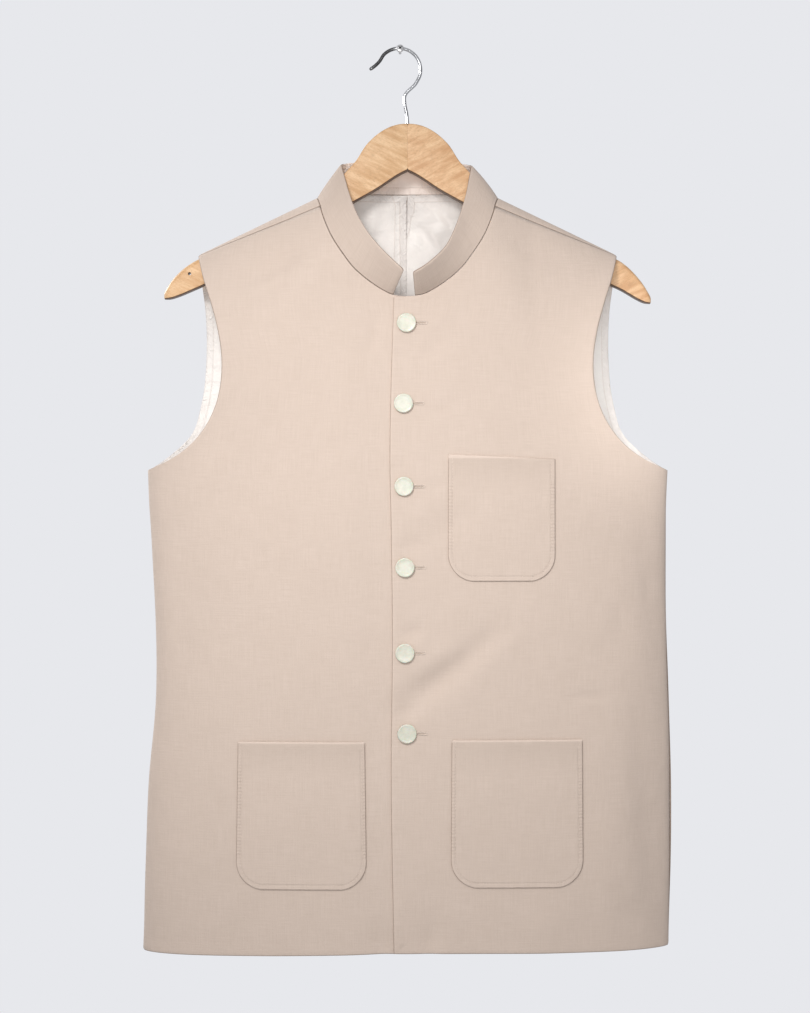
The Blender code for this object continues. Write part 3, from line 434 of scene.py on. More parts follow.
def shoulder_seam(share, towards):
    """The forward shoulder seam from neck to tip, moved off its line towards one piece."""
    x = SEAM_NECK_X + (RIDGE_TIP_X - SEAM_NECK_X) * share
    below = SHOULDER_SEAM_NECK + (SHOULDER_SEAM_TIP - SHOULDER_SEAM_NECK) * share
    z = ridge_z(x) - below
    step = 0.05
    low = np.sqrt(np.maximum(0.0, depth_squared(LEFT, FRONT, x, z - step)))
    high = np.sqrt(np.maximum(0.0, depth_squared(LEFT, FRONT, x, z + step)))
    return x, z + towards * SEAM_HALF_STEP / np.hypot(1.0, (low - high) / (2 * step))


def column_shares(spread):
    """Shares of a row's width, closer together at the outer edge where the spread is 0."""
    steps = np.concatenate((EDGE_SHARES, np.arange(1, COLUMNS + 1) / COLUMNS))
    return (1 - spread) * (1 - (1 - steps) ** 2) + spread * steps


def row_points(inner, outer, spread, follow):
    """A row's x and z, straight where follow is 0 and along the shoulder's slope where it is 1."""
    share = column_shares(spread)
    inner_below, outer_below = ridge_z(inner[0]) - inner[1], ridge_z(outer[0]) - outer[1]
    x = inner[0] + (outer[0] - inner[0]) * share
    level = inner[1] + (outer[1] - inner[1]) * share
    sloped = ridge_z(x) - inner_below - (outer_below - inner_below) * share
    return x, level + follow * (sloped - level)


def body_rows(side, inner_x):
    """The rows from the hem to the underarm, inner_x being the inner edge's x at a height."""
    shares = np.concatenate((EDGE_SHARES, np.arange(1, BODY_ROWS) / BODY_ROWS))
    rows = []
    for share in shares:
        z_inner = hem_z(side, 0.0) + (UNDERARM_Z - hem_z(side, 0.0)) * share
        z_outer = hem_z(side, 1.0) + (UNDERARM_Z - hem_z(side, 1.0)) * share
        outer = (half_width(side, z_outer), z_outer)
        rows.append(row_points((inner_x(z_inner), z_inner), outer, 0.0, 0.0))
    return rows


def chest_rows(inner_x, top, armhole, armhole_share):
    rows = []
    for share in np.arange(CHEST_ROWS) / CHEST_ROWS:
        z = UNDERARM_Z + (top - UNDERARM_Z) * share
        outer = along_outline(armhole, armhole_share * share)
        rows.append(row_points((inner_x(z), z), outer, smooth_step(0, 1, share), 0.0))
    return rows


def shoulder_rows(inner_at, armhole, armhole_share):
    """The rows from the neck's lowest point up, inner_at being the neck's x and z at a share."""
    rows = []
    for share in np.arange(SHOULDER_ROWS) / SHOULDER_ROWS:
        near_ridge = 1 - (1 - share) ** ROWS_TOWARDS_RIDGE
        outer = along_outline(armhole, armhole_share + (1 - armhole_share) * near_ridge)
        rows.append(row_points(inner_at(share), outer, 1.0, share**2))
    return rows


def as_grid(rows, facing):
    x, z = (np.array(part, float) for part in zip(*rows))
    return x, z, np.full(x.shape, facing)


def front_grid(side):
    """The rows of a front from the hem to the forward shoulder seam."""

    def inner_x(z):
        if side == RIGHT:
            return UNDERLAP_X
        return smooth_curve([r.z for r in FRONT_EDGE], [r.x for r in FRONT_EDGE], z)

    start = NECKLINE[0] if side == RIGHT else NECKLINE[1]
    neckline = [row for row in NECKLINE if row.x >= start.x]
    low = FRONT_ARMHOLE_BELOW_NECK
    rows = body_rows(side, inner_x) + chest_rows(inner_x, start.z, FRONT_ARMHOLE, low)
    rows += shoulder_rows(lambda share: along_outline(neckline, share), FRONT_ARMHOLE, low)
    rows.append(shoulder_seam(column_shares(1.0), -1))
    return as_grid(rows, FRONT)


def back_neck(share):
    """The back's neck edge from its middle to the shoulder ridge."""
    x = RIDGE_NECK_X * (1 - (1 - share) ** BACK_NECK_CROWDING)
    return x, BACK_NECK_Z - BACK_NECK_DROP * (x / RIDGE_NECK_X) ** 4


def back_grid(side, inner):
    """The rows of a half back from the hem, over the ridge, to the forward shoulder seam."""
    low = BACK_ARMHOLE_BELOW_NECK
    rows = body_rows(side, lambda z: inner)
    rows += chest_rows(lambda z: inner, BACK_NECK_Z, BACK_ARMHOLE, low)
    corner = len(rows)
    rows += shoulder_rows(back_neck, BACK_ARMHOLE, low)
    if inner < 0:  # the part that runs past the middle ends in a slant below the neck
        for number in range(corner - CHEST_ROWS // 3, corner):
            x, z = rows[number]
            share = smooth_step(corner - CHEST_ROWS // 3, corner, number)
            rows[number] = np.where(x < 0, x * (1 - share), x), z
    x, z, facing = as_grid(rows, BACK)
    ends = (RIDGE_NECK_X, RIDGE_NECK_Z), (RIDGE_TIP_X, RIDGE_TIP_Z)
    ridge_x, _ = row_points(*ends, 1.0, 1.0)
    seam_x, seam_z = shoulder_seam(column_shares(1.0), 1)
    over = []
    for share in np.linspace(0.0, 1.0, RIDGE_ROWS + 1) ** ROWS_OVER_RIDGE:
        over_x = ridge_x + (seam_x - ridge_x) * share
        over.append((over_x, ridge_z(over_x) - (ridge_z(seam_x) - seam_z) * share))
    over_x, over_z, over_facing = as_grid(over, FRONT)
    return np.vstack((x, over_x)), np.vstack((z, over_z)), np.vstack((facing, over_facing))


Patch = namedtuple("Patch", "side outer inner weave")


def rolled(points, normals, thick, free):
    """Outer and inner points of a wall, rolled round along its free edges."""
    shape = points.shape[:2]
    inward = np.zeros(shape)
    for step, amount in enumerate(EDGE_INS):
        strips = {
            "first_column": inward[:, step], "last_column": inward[:, -1 - step],
            "first_row": inward[step], "last_row": inward[-1 - step],
        }
        for edge in free:
            np.maximum(strips[edge], amount, out=strips[edge])
    depth = (inward * thick)[..., None]
    return points - normals * depth, points - normals * (thick - depth)


def wall_patch(side, grid, thick, free, inset=0.0, extra_inset=None):
    x, z, facing = grid
    more = extra_inset(x, z, facing) if extra_inset else 0.0
    points, normals = cloth(side, facing, x, z, inset + more)
    outer, inner = rolled(points, normals, thick, free)
    steps = np.linalg.norm(np.diff(points, axis=1), axis=2)
    across = np.hstack((x[:, :1], x[:, :1] + np.cumsum(steps, axis=1)))
    return Patch(side, outer, inner, np.stack((side * across, z), axis=-1))


def make_mesh(name, points, faces, *materials):
    """A smooth mesh from points in millimetres."""
    mesh = bpy.data.meshes.new(name)
    mesh.from_pydata((np.asarray(points) * MM).tolist(), [], faces)
    mesh.shade_smooth()
    for material in materials:
        mesh.materials.append(material)
    return mesh


def make_wall(name, patches, *materials):
    """A closed wall from grids of outer and inner points, patches that touch being welded.

    The second material, if there is one, is that of the inner side.
    """
    numbers, outer, inner, weave, faces = {}, [], [], [], []
    for patch in patches:
        rows, columns = patch.outer.shape[:2]
        index = np.empty((rows, columns), int)
        for row in range(rows):
            for column in range(columns):
                key = tuple(np.round(patch.outer[row, column], 4))
                if key not in numbers:
                    numbers[key] = len(outer)
                    outer.append(patch.outer[row, column])
                    inner.append(patch.inner[row, column])
                    weave.append(patch.weave[row, column])
                index[row, column] = numbers[key]
        quads = np.stack((index[:-1, :-1], index[:-1, 1:], index[1:, 1:], index[1:, :-1]), axis=-1)
        quads = quads.reshape(-1, 4)
        faces.append(quads if patch.side == LEFT else quads[:, ::-1])
    faces = np.vstack(faces)
    count = len(outer)
    # A dictionary keeps the edges in order, so that each run gives the same mesh
    edges = {(quad[i], quad[(i + 1) % 4]): None for quad in faces.tolist() for i in range(4)}
    rim = [(a, b) for a, b in edges if (b, a) not in edges]
    sides = [(b, a, a + count, b + count) for a, b in rim]
    quads = faces.tolist() + (faces[:, ::-1] + count).tolist() + sides
    mesh = make_mesh(name, np.vstack((outer, inner)) + GARMENT_CENTRE, quads, *materials)
    if len(materials) > 1:
        numbers = np.zeros(len(quads), int)
        numbers[len(faces) : 2 * len(faces)] = 1
        mesh.polygons.foreach_set("material_index", numbers)
    add_vectors(mesh, "weave", np.vstack((weave, weave)))
    add_vectors(mesh, "seam", np.tile(seam_places(np.array(outer), rim), (2, 1)))
    return add_object(name, mesh)


def add_vectors(mesh, name, pairs):
    layer = mesh.attributes.new(name, "FLOAT_VECTOR", "POINT")
    values = np.zeros((len(pairs), 3))
    values[:, : pairs.shape[1]] = pairs
    layer.data.foreach_set("vector", values.ravel())


def seam_places(points, rim):
    """Distance from the nearest edge, place along it, and 0 where that count starts or ends."""
    following = dict(rim)
    along, order, joined = {}, [], {}
    for start in list(following):
        if start in along:
            continue
        at, length, loop = start, 0.0, []
        while at not in along:
            along[at] = length
            loop.append(at)
            length += float(np.linalg.norm(points[following[at]] - points[at]))
            at = following[at]
        for vertex in loop:
            from_end = min(along[vertex], length - along[vertex])
            joined[vertex] = smooth_step(0.0, SEAM_COUNT_FULL, from_end)
        order += loop
    tree = KDTree(len(order))
    for number, vertex in enumerate(order):
        tree.insert(points[vertex], number)
    tree.balance()
    found = [tree.find(point) for point in points]
    nearest = [(distance, order[number]) for _, number, distance in found]
    return np.array([(distance, along[vertex], joined[vertex]) for distance, vertex in nearest])


def add_object(name, mesh):
    obj = bpy.data.objects.new(name, mesh)
    bpy.context.scene.collection.objects.link(obj)
    return obj


def stands_for(piece, *nodes, slot):
    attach(piece, "root")
    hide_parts(*nodes)


class Nodes:
    """A node tree that is built a node at a time."""

    def __init__(self, tree):
        self.tree = tree

    def node(self, kind, inputs=None, **settings):
        node = self.tree.nodes.new(kind)
        for name, value in settings.items():
            setattr(node, name, value)
        for name, value in (inputs or {}).items():
            self.put(node.inputs[name], value)
        return node

    def put(self, socket, value):
        if isinstance(value, bpy.types.NodeSocket):
            self.tree.links.new(value, socket)
        else:
            socket.default_value = value

    def attribute(self, name):
        return self.node("ShaderNodeAttribute", attribute_name=name).outputs["Vector"]

    def scaled(self, vector, by):
        node = self.node("ShaderNodeVectorMath", {0: vector, 1: by}, operation="MULTIPLY")
        return node.outputs["Vector"]

    def noise(self, vector, scales, detail=2.0, roughness=0.5):
        """Noise with a scale of its own along each axis of the vector."""
        values = {"Vector": self.scaled(vector, scales), "Scale": 1.0}
        values.update({"Detail": detail, "Roughness": roughness})
        return self.node("ShaderNodeTexNoise", values).outputs["Fac"]

    def math(self, operation, first, second=0.0):
        node = self.node("ShaderNodeMath", {0: first, 1: second}, operation=operation)
        return node.outputs["Value"]

    def between(self, value, low, high, to_low=0.0, to_high=1.0):
        values = {"Value": value, "From Min": low, "From Max": high}
        values.update({"To Min": to_low, "To Max": to_high})
        return self.node("ShaderNodeMapRange", values).outputs["Result"]

    def times(self, first, second):
        return self.math("MULTIPLY", first, second)

    def away(self, value, middle):
        return self.math("ABSOLUTE", self.math("SUBTRACT", value, middle))

    def mix(self, share, first, second):
        node = self.node("ShaderNodeMix", data_type="RGBA")
        self.put(node.inputs["Factor"], share)
        self.put(node.inputs[6], first)
        self.put(node.inputs[7], second)
        return node.outputs[2]

    def tinted(self, tint, colour, value, *ends):
        """The tint turned towards a colour by a share that follows the value."""
        return self.mix(self.between(value, *ends), tint, colour)

    def bump(self, height, distance, under=None, strength=1.0):
        values = {"Height": height, "Distance": distance * MM, "Strength": strength}
        node = self.node("ShaderNodeBump", values)
        if under:
            self.put(node.inputs["Normal"], under)
        return node.outputs["Normal"]

    def place(self):
        """Where the point lies, in metres."""
        return self.node("ShaderNodeTexCoord").outputs["Object"]

    def parts(self, vector):
        return self.node("ShaderNodeSeparateXYZ", {0: vector}).outputs


class Look(Nodes):
    """A material on the Principled shader."""

    def __init__(self, name):
        self.material = bpy.data.materials.new(name)
        self.material.use_nodes = True
        super().__init__(self.material.node_tree)
        self.shader = self.tree.nodes["Principled BSDF"]

    def set(self, **values):
        for name, value in values.items():
            self.put(self.shader.inputs[name.replace("_", " ")], value)


def linear(red, green, blue):
    """A colour as the photograph shows it, from 0 to 255, as the shader wants it."""
    values = [channel / 255 for channel in (red, green, blue)]
    return (*[((v + 0.055) / 1.055) ** 2.4 if v > 0.04045 else v / 12.92 for v in values], 1.0)


def shaded(colour, share):
    """The colour darker, or paler where the share is over 1."""
    return tuple(min(1.0, channel * share) for channel in colour[:3]) + (1.0,)


THREAD = 0.52  # from one thread of the suiting to the next
# The cloths' colours: plain, in the slubs' or clouds' shade, and in a seam's dark line, partly a
# needle line and partly painted contact shadow
SUITING = linear(209, 192, 180), linear(201, 184, 171), linear(140, 119, 104)
# The collar's suiting is the same cloth as the body's, a little darker as painted shade
SHADED_COLLAR_SUITING = linear(204, 187, 175), linear(196, 179, 166), linear(136, 115, 100)
SATIN = linear(245, 241, 237), linear(234, 227, 223)
# The collar's satin is pinker than the lining's, and made paler as painted light where the hanger
# shades it
COLLAR_SATIN_PAINTED_LIGHT = linear(250, 239, 232), linear(238, 224, 215)
# The satin's edge colour is a dark line, partly a seam line and partly painted contact shadow
SATIN_EDGE_LINE_AND_SHADOW, SATIN_SEAM = linear(190, 168, 154), linear(196, 176, 164)
PLEAT_SEAM = linear(204, 184, 170)
SATIN_SEAM_IN = 6.4  # from the satin's edge to its seam
SATIN_PUCKER, COLLAR_SATIN_PUCKER = 2.2, 3.2
BUTTON_PALE, BUTTON_GREEN = linear(210, 209, 196), linear(198, 199, 183)
TARNISH = linear(48, 46, 45)


# In the looks below, distances are in millimetres from a seam's edge or from a pocket's top. Each
# noise has its scale along each axis, its detail and its roughness. Each tint and between has its
# value's range and then the shares at either end of it
def suiting_look(name, colour, shade, seam_line_and_shadow_colour, stitched=False):
    """A matte plain weave with slubs both ways, puckered where it is seamed and dark there, partly
    as a needle line and partly as painted contact shadow.
    """
    look = Look(name)
    weave, seam = look.attribute("weave"), look.attribute("seam")
    turns = look.scaled(weave, (2 * math.pi / THREAD,) * 3)
    waves = look.node("ShaderNodeVectorMath", {0: turns}, operation="SINE").outputs["Vector"]
    x, y, _ = look.parts(waves)
    threads = look.times(x, y)
    weft = look.noise(weave, (0.05, 1.1, 1.0), 3.0, 0.6)
    warp = look.noise(weave, (1.3, 0.035, 1.0), 3.0, 0.6)
    slubs = look.math("ADD", weft, warp)
    mottle = look.noise(weave, (0.03, 0.03, 1.0), 2.0, 0.5)
    fuzz = look.noise(weave, (2.4, 2.4, 1.0), 2.0, 0.6)
    tint = look.mix(look.between(slubs, 0.78, 1.22), shade, colour)
    tint = look.tinted(tint, shade, mottle, 0.3, 0.7, 0.0, 0.3)
    tint = look.tinted(tint, colour, fuzz, 0.35, 0.75, 0.0, 0.12)
    distance, along, counted = look.parts(seam)
    paler = shaded(colour, 1.08)
    tint = look.tinted(tint, paler, distance, 0.8, 2.6, 0.28, 0.0)
    # A dark line along each seam and edge: partly a needle line, partly painted contact shadow
    edge = look.between(distance, 0.1, 0.8, 0.75, 0.0)
    if stitched:
        _, below_top, above_corner = look.parts(weave)
        sewn = look.between(below_top, -3.0, -1.0, 1.0, 0.0)
        # Painted shade: the pocket darker towards its open top
        painted_shade_below_top = look.between(below_top, -34.0, -3.0, 0.0, 0.45)
        tint = look.mix(painted_shade_below_top, tint, shaded(shade, 0.9))
        # Painted highlight: a paler line along the pocket's top fold
        tint = look.tinted(tint, paler, below_top, -1.9, -0.9, 0.0, 0.8)
        edge = look.times(edge, sewn)
        tick = look.math("SINE", look.times(along, 2 * math.pi / STITCH_PITCH))
        below_hem = look.between(below_top, -27.0, -20.0, 1.0, 0.0)
        straight = look.times(below_hem, look.between(above_corner, 0.0, 6.0 * MM))
        border = look.times(look.between(distance, 3.6, 4.6, 1.0, 0.0), straight)
        ticks = look.times(look.between(tick, -0.2, 1.0), border)
        tint = look.mix(look.times(ticks, 0.14), tint, seam_line_and_shadow_colour)
    # The seams' dark line laid on last: needle line and painted contact shadow
    tint = look.mix(edge, tint, seam_line_and_shadow_colour)
    look.set(Base_Color=tint, Roughness=0.88, Specular_IOR_Level=0.2)
    look.set(Sheen_Weight=0.15, Sheen_Roughness=0.5)
    puckers = look.noise(seam, (0.12, 0.16, 0.0), 2.0, 0.5)
    near = look.times(look.between(distance, 0.0, 12.0, 1.0, 0.0), counted)
    pucker = look.bump(look.times(puckers, near), 0.7)
    if stitched:
        from_stitches = look.away(distance, POCKET_STITCH_INSET)
        groove = look.between(from_stitches, 0.0, 1.3, -1.0, 0.0)
        groove = look.times(groove, look.between(below_top, -9.0, -5.0, 1.0, 0.0))
        pucker = look.bump(groove, 0.3, look.bump(ticks, -0.12, pucker))
    rumple = look.noise(weave, (0.05, 0.035, 1.0), 3.0, 0.5)
    soft = look.bump(rumple, 1.5, pucker, 0.6)
    slubbed = look.bump(slubs, 0.14, soft)
    look.set(Normal=look.bump(threads, 0.04, slubbed, 0.8))
    return look.material


def satin_look(name, colour, shade, pressed_at=None, pucker=SATIN_PUCKER):
    """A smooth lining with a soft shine, small crinkles and puckers along its seams."""
    look = Look(name)
    weave, seam = look.attribute("weave"), look.attribute("seam")
    streaks = look.noise(weave, (1.6, 0.04, 1.0), 3.0, 0.6)
    cloudy = look.noise(weave, (0.035, 0.03, 1.0), 2.0, 0.5)
    distance, _, counted = look.parts(seam)
    tint = look.mix(look.between(streaks, 0.3, 0.7, 0.0, 0.25), colour, shade)
    tint = look.tinted(tint, shade, cloudy, 0.35, 0.7, 0.0, 0.4)
    # A dark line at the satin's edges: partly a seam line, partly painted contact shadow
    tint = look.tinted(tint, SATIN_EDGE_LINE_AND_SHADOW, distance, 0.0, 0.7, 0.25, 0.0)
    tint = look.tinted(tint, shade, distance, 5.6, SATIN_SEAM_IN, 0.35, 0.0)
    from_seam = look.away(distance, SATIN_SEAM_IN)
    tint = look.tinted(tint, SATIN_SEAM, from_seam, 0.1, 0.6, 0.3, 0.0)
    look.set(Roughness=look.between(streaks, 0.3, 0.7, 0.4, 0.5), Specular_IOR_Level=0.4)
    look.set(Sheen_Weight=0.1, Anisotropic=0.3)
    puckers = look.noise(seam, (0.1, 0.3, 0.0), 3.0, 0.55)
    near = look.times(look.between(distance, 1.0, 14.0, 1.0, 0.0), counted)
    puckered = look.bump(look.times(puckers, near), pucker)
    puckered = look.bump(look.between(from_seam, 0.0, 1.2, -1.0, 0.0), 0.25, puckered)
    crinkle = look.noise(weave, (0.04, 0.07, 1.0), 3.0, 0.45)
    soft = look.bump(crinkle, 2.4, puckered, 0.9)
    if pressed_at:
        across, _, _ = look.parts(weave)
        line = look.away(across, pressed_at)
        tint = look.tinted(tint, PLEAT_SEAM, line, 0.1, 0.8, 0.25, 0.0)
        soft = look.bump(look.between(line, 0.0, 1.2, -1.0, 0.0), 0.2, soft)
    look.set(Base_Color=tint, Normal=look.bump(streaks, 0.04, soft))
    return look.material


def thread_look(name, colour):
    look = Look(name)
    twist = look.noise(look.place(), (2600.0, 2600.0, 5200.0), 1.0)
    look.set(Base_Color=look.mix(look.between(twist, 0.35, 0.65), shaded(colour, 0.8), colour))
    look.set(Roughness=0.6, Sheen_Weight=0.3, Normal=look.bump(twist, 0.05))
    return look.material


def button_look():
    """Polished, slightly milky resin with faint clouds and fine marks."""
    look = Look("button_resin")
    place = look.place()
    clouds = look.noise(place, (260.0, 260.0, 260.0), 3.0, 0.6)
    marks = look.noise(place, (2400.0, 2400.0, 2400.0), 2.0, 0.7)
    tint = look.mix(look.between(clouds, 0.35, 0.65), BUTTON_GREEN, BUTTON_PALE)
    look.set(Base_Color=tint)
    look.set(Roughness=look.between(marks, 0.3, 0.7, 0.3, 0.45), Coat_Weight=0.15)
    look.set(Subsurface_Weight=0.15, Subsurface_Scale=0.002)
    look.set(Normal=look.bump(marks, 0.02))
    return look.material


def wood_look(name, early, late, slope):
    """Lacquered pale wood, blotched and finely speckled, its grain running down the slope."""
    look = Look(name)
    place = look.place()
    turned = look.node("ShaderNodeMapping", {"Vector": place}, vector_type="POINT")
    turned.inputs["Rotation"].default_value = (0.0, slope, 0.0)
    along = turned.outputs["Vector"]
    grain = look.noise(along, (34.0, 230.0, 230.0), 6.0, 0.65)
    blotches = look.noise(along, (70.0, 130.0, 130.0), 4.0, 0.6)
    pores = look.noise(along, (420.0, 2200.0, 2200.0), 2.0, 0.7)
    tint = look.mix(look.between(grain, 0.38, 0.64), early, late)
    tint = look.tinted(tint, late, blotches, 0.45, 0.7, 0.0, 0.75)
    dark = shaded(late, 0.62)
    tint = look.tinted(tint, dark, pores, 0.54, 0.7, 0.0, 0.6)
    marks = look.noise(place, (55.0, 55.0, 55.0), 5.0, 0.7)
    tint = look.tinted(tint, dark, marks, 0.58, 0.72, 0.0, 0.5)
    look.set(Base_Color=tint, Roughness=look.between(pores, 0.3, 0.7, 0.42, 0.56))
    look.set(Coat_Weight=0.12, Coat_Roughness=0.35, Specular_IOR_Level=0.35)
    look.set(Normal=look.bump(pores, 0.05, look.bump(grain, 0.1)))
    return look.material


def metal_look(name, colour, low, high, brushed, tarnish=None):
    """Bare metal with smudges and fine marks, and dull where its tarnish lies."""
    look = Look(name)
    place = look.place()
    wear = look.noise(place, brushed, 3.0, 0.6)
    smudge = look.noise(place, (90.0, 90.0, 90.0), 2.0)
    tint = look.mix(look.between(smudge, 0.4, 0.65), colour, shaded(colour, 0.62))
    if tarnish:
        x, _, z = look.parts(place)
        low_x, high_x, low_z, high_z = (value * MM for value in tarnish)
        there = look.times(look.between(x, high_x, low_x), look.between(z, low_z, high_z))
        tint = look.mix(look.times(there, 0.85), tint, TARNISH)
    look.set(Base_Color=tint, Metallic=1.0)
    look.set(Roughness=look.between(wear, 0.3, 0.7, low, high), Normal=look.bump(wear, 0.004))
    return look.material


def floor_look():
    look = Look("floor")
    grain = look.noise(look.place(), (8.0, 8.0, 8.0), 4.0)
    colours = linear(236, 236, 235), linear(243, 243, 242)
    look.set(Base_Color=look.mix(grain, *colours), Roughness=0.8)
    return look.material


def turned_rings(profile, sides):
    """Rings round the z axis, from rows of radius and height."""
    turns = circle(sides)
    return [
        np.stack((radius * np.cos(turns), radius * np.sin(turns), np.full(sides, height)), axis=-1)
        for radius, height in profile
    ]


def box_rings(width, depth, low, high):
    corners = np.array([(-width, -depth), (width, -depth), (width, depth), (-width, depth)]) / 2
    return [np.column_stack((corners, np.full(4, height))) for height in (low, high)]


def make_tube(name, centres, radii, sides, material):
    """A round tube through the centres, all of which lie in the plane y = 0 of their route."""
    across = np.cross(unit(np.gradient(centres, axis=0)), (0.0, 1.0, 0.0))
    turns = circle(sides)
    rings = [
        centre + radius * (np.outer(np.cos(turns), side) + np.outer(np.sin(turns), (0, 1, 0)))
        for centre, radius, side in zip(centres, radii, across)
    ]
    return loft(name, rings, material)


def ring_faces(rings, sides, start=0, ends=True):
    """The quads from each ring of points to the next, and a face at either end."""
    faces = []
    for near in range(start, start + (rings - 1) * sides, sides):
        for i in range(sides):
            j = (i + 1) % sides
            faces.append((near + i, near + j, near + sides + j, near + sides + i))
    if ends:
        faces.append(tuple(range(start, start + sides))[::-1])
        faces.append(tuple(range(start + (rings - 1) * sides, start + rings * sides)))
    return faces


def loft(name, rings, material):
    """A closed skin over rings of points, in millimetres."""
    mesh = make_mesh(name, np.vstack(rings), ring_faces(len(rings), len(rings[0])), material)
    mesh.set_sharp_from_angle(angle=math.radians(SHARP_LOFT))
    return add_object(name, mesh)


# The camera stands where the photograph was taken from
camera = bpy.data.objects.new("camera", bpy.data.cameras.new("camera"))
bpy.context.scene.collection.objects.link(camera)
camera.location = Vector((CAMERA_X, -CAMERA_DISTANCE, CAMERA_Z)) * MM
camera.rotation_euler = (math.radians(90), 0.0, 0.0)
camera.data.sensor_fit = "VERTICAL"
camera.data.sensor_height = SENSOR
camera.data.lens = SENSOR * CAMERA_DISTANCE / (PIXEL * PHOTO_HEIGHT)
bpy.context.scene.camera = camera
bpy.context.scene.view_settings.view_transform = "Standard"

suiting = suiting_look("suiting_weave", *SUITING)
pocket_suiting = suiting_look("suiting_weave_stitched", *SUITING, stitched=True)
# The collar's own copy of the suiting, darker as painted shade
shaded_collar_suiting = suiting_look("suiting_collar_painted_shade", *SHADED_COLLAR_SUITING)
satin = satin_look("satin_lining", *SATIN)
pleated_satin = satin_look("satin_lining_pleat", *SATIN, pressed_at=PLEAT_STITCH_X)
# The inner collar's satin: its own pinker tone, paler as painted light
collar_satin_painted_light = satin_look("satin_collar_painted_light", *COLLAR_SATIN_PAINTED_LIGHT, pucker=COLLAR_SATIN_PUCKER)
thread = thread_look("sewing_thread", linear(221, 205, 192))
# A darker thread along each buttonhole's slit, as painted shade in its gap
slit_painted_shade = thread_look("buttonhole_slit_painted_shade", linear(196, 176, 160))


def underlap_inset(x, *_):
    """How far the right front is pressed back where the left front laps over it."""
    return UNDERLAP_PUSH * (1 - smooth_step(UNDERLAP_FULL_X, UNDERLAP_START_X, x))


def pleat_inset(x, z, facing):
    creases = folds_at(LINING_CREASES, RIGHT, x, z) * (facing == BACK)
    return PLEAT_LIFT * (1 - smooth_step(PLEAT_FULL_X, PLEAT_START_X, x)) + creases


def under_pleat_inset(x, z, facing):
    creases = folds_at(LINING_CREASES, LEFT, x, z) * (facing == BACK)
    creases = creases * smooth_step(UNDER_CREASES_START_X, UNDER_CREASES_FULL_X, x)
    return np.where(x < 0, UNDER_LINING_INSET, 0.0) + creases


# The panels
CUT_EDGES = ("first_row", "first_column", "last_column")
BACK_EDGES = ("first_row", "last_column")
SIDES = (RIGHT, LEFT)
front_grids = {side: front_grid(side) for side in SIDES}
back_grids = {side: back_grid(side, 0.0) for side in SIDES}
front_patches = [
    wall_patch(RIGHT, front_grids[RIGHT], CLOTH, CUT_EDGES, 0.0, underlap_inset),
    wall_patch(LEFT, front_grids[LEFT], CLOTH, CUT_EDGES),
]
back_patches = [wall_patch(side, back_grids[side], CLOTH, BACK_EDGES) for side in SIDES]
folded_grid, under_grid = back_grid(RIGHT, LINING_FOLD_X), back_grid(LEFT, LINING_UNDER_X)
lining_patches = [
    wall_patch(RIGHT, folded_grid, LINING_CLOTH, CUT_EDGES, LINING_INSET, pleat_inset),
    wall_patch(LEFT, under_grid, LINING_CLOTH, CUT_EDGES, LINING_INSET, under_pleat_inset),
]
front_right = make_wall("cloth_front_right", front_patches[:1], suiting, satin)
front_left = make_wall("cloth_front_left", front_patches[1:], suiting, satin)
back = make_wall("cloth_back", back_patches, suiting)
lining_right = make_wall("cloth_lining_right", lining_patches[:1], pleated_satin)
lining_left = make_wall("cloth_lining_left", lining_patches[1:], satin)


# The collar
def neck_edge(side):
    """The panels' own neck edge from the middle of the back to the front edge."""
    first = len(EDGE_SHARES) + BODY_ROWS - 1 + CHEST_ROWS
    back_edge, front_edge = (
        [tuple(part[row, 0] for part in grid) for row in range(first, len(grid[0]))]
        for grid in (back_grids[side], front_grids[side])
    )
    return back_edge + front_edge[::-1][1:]


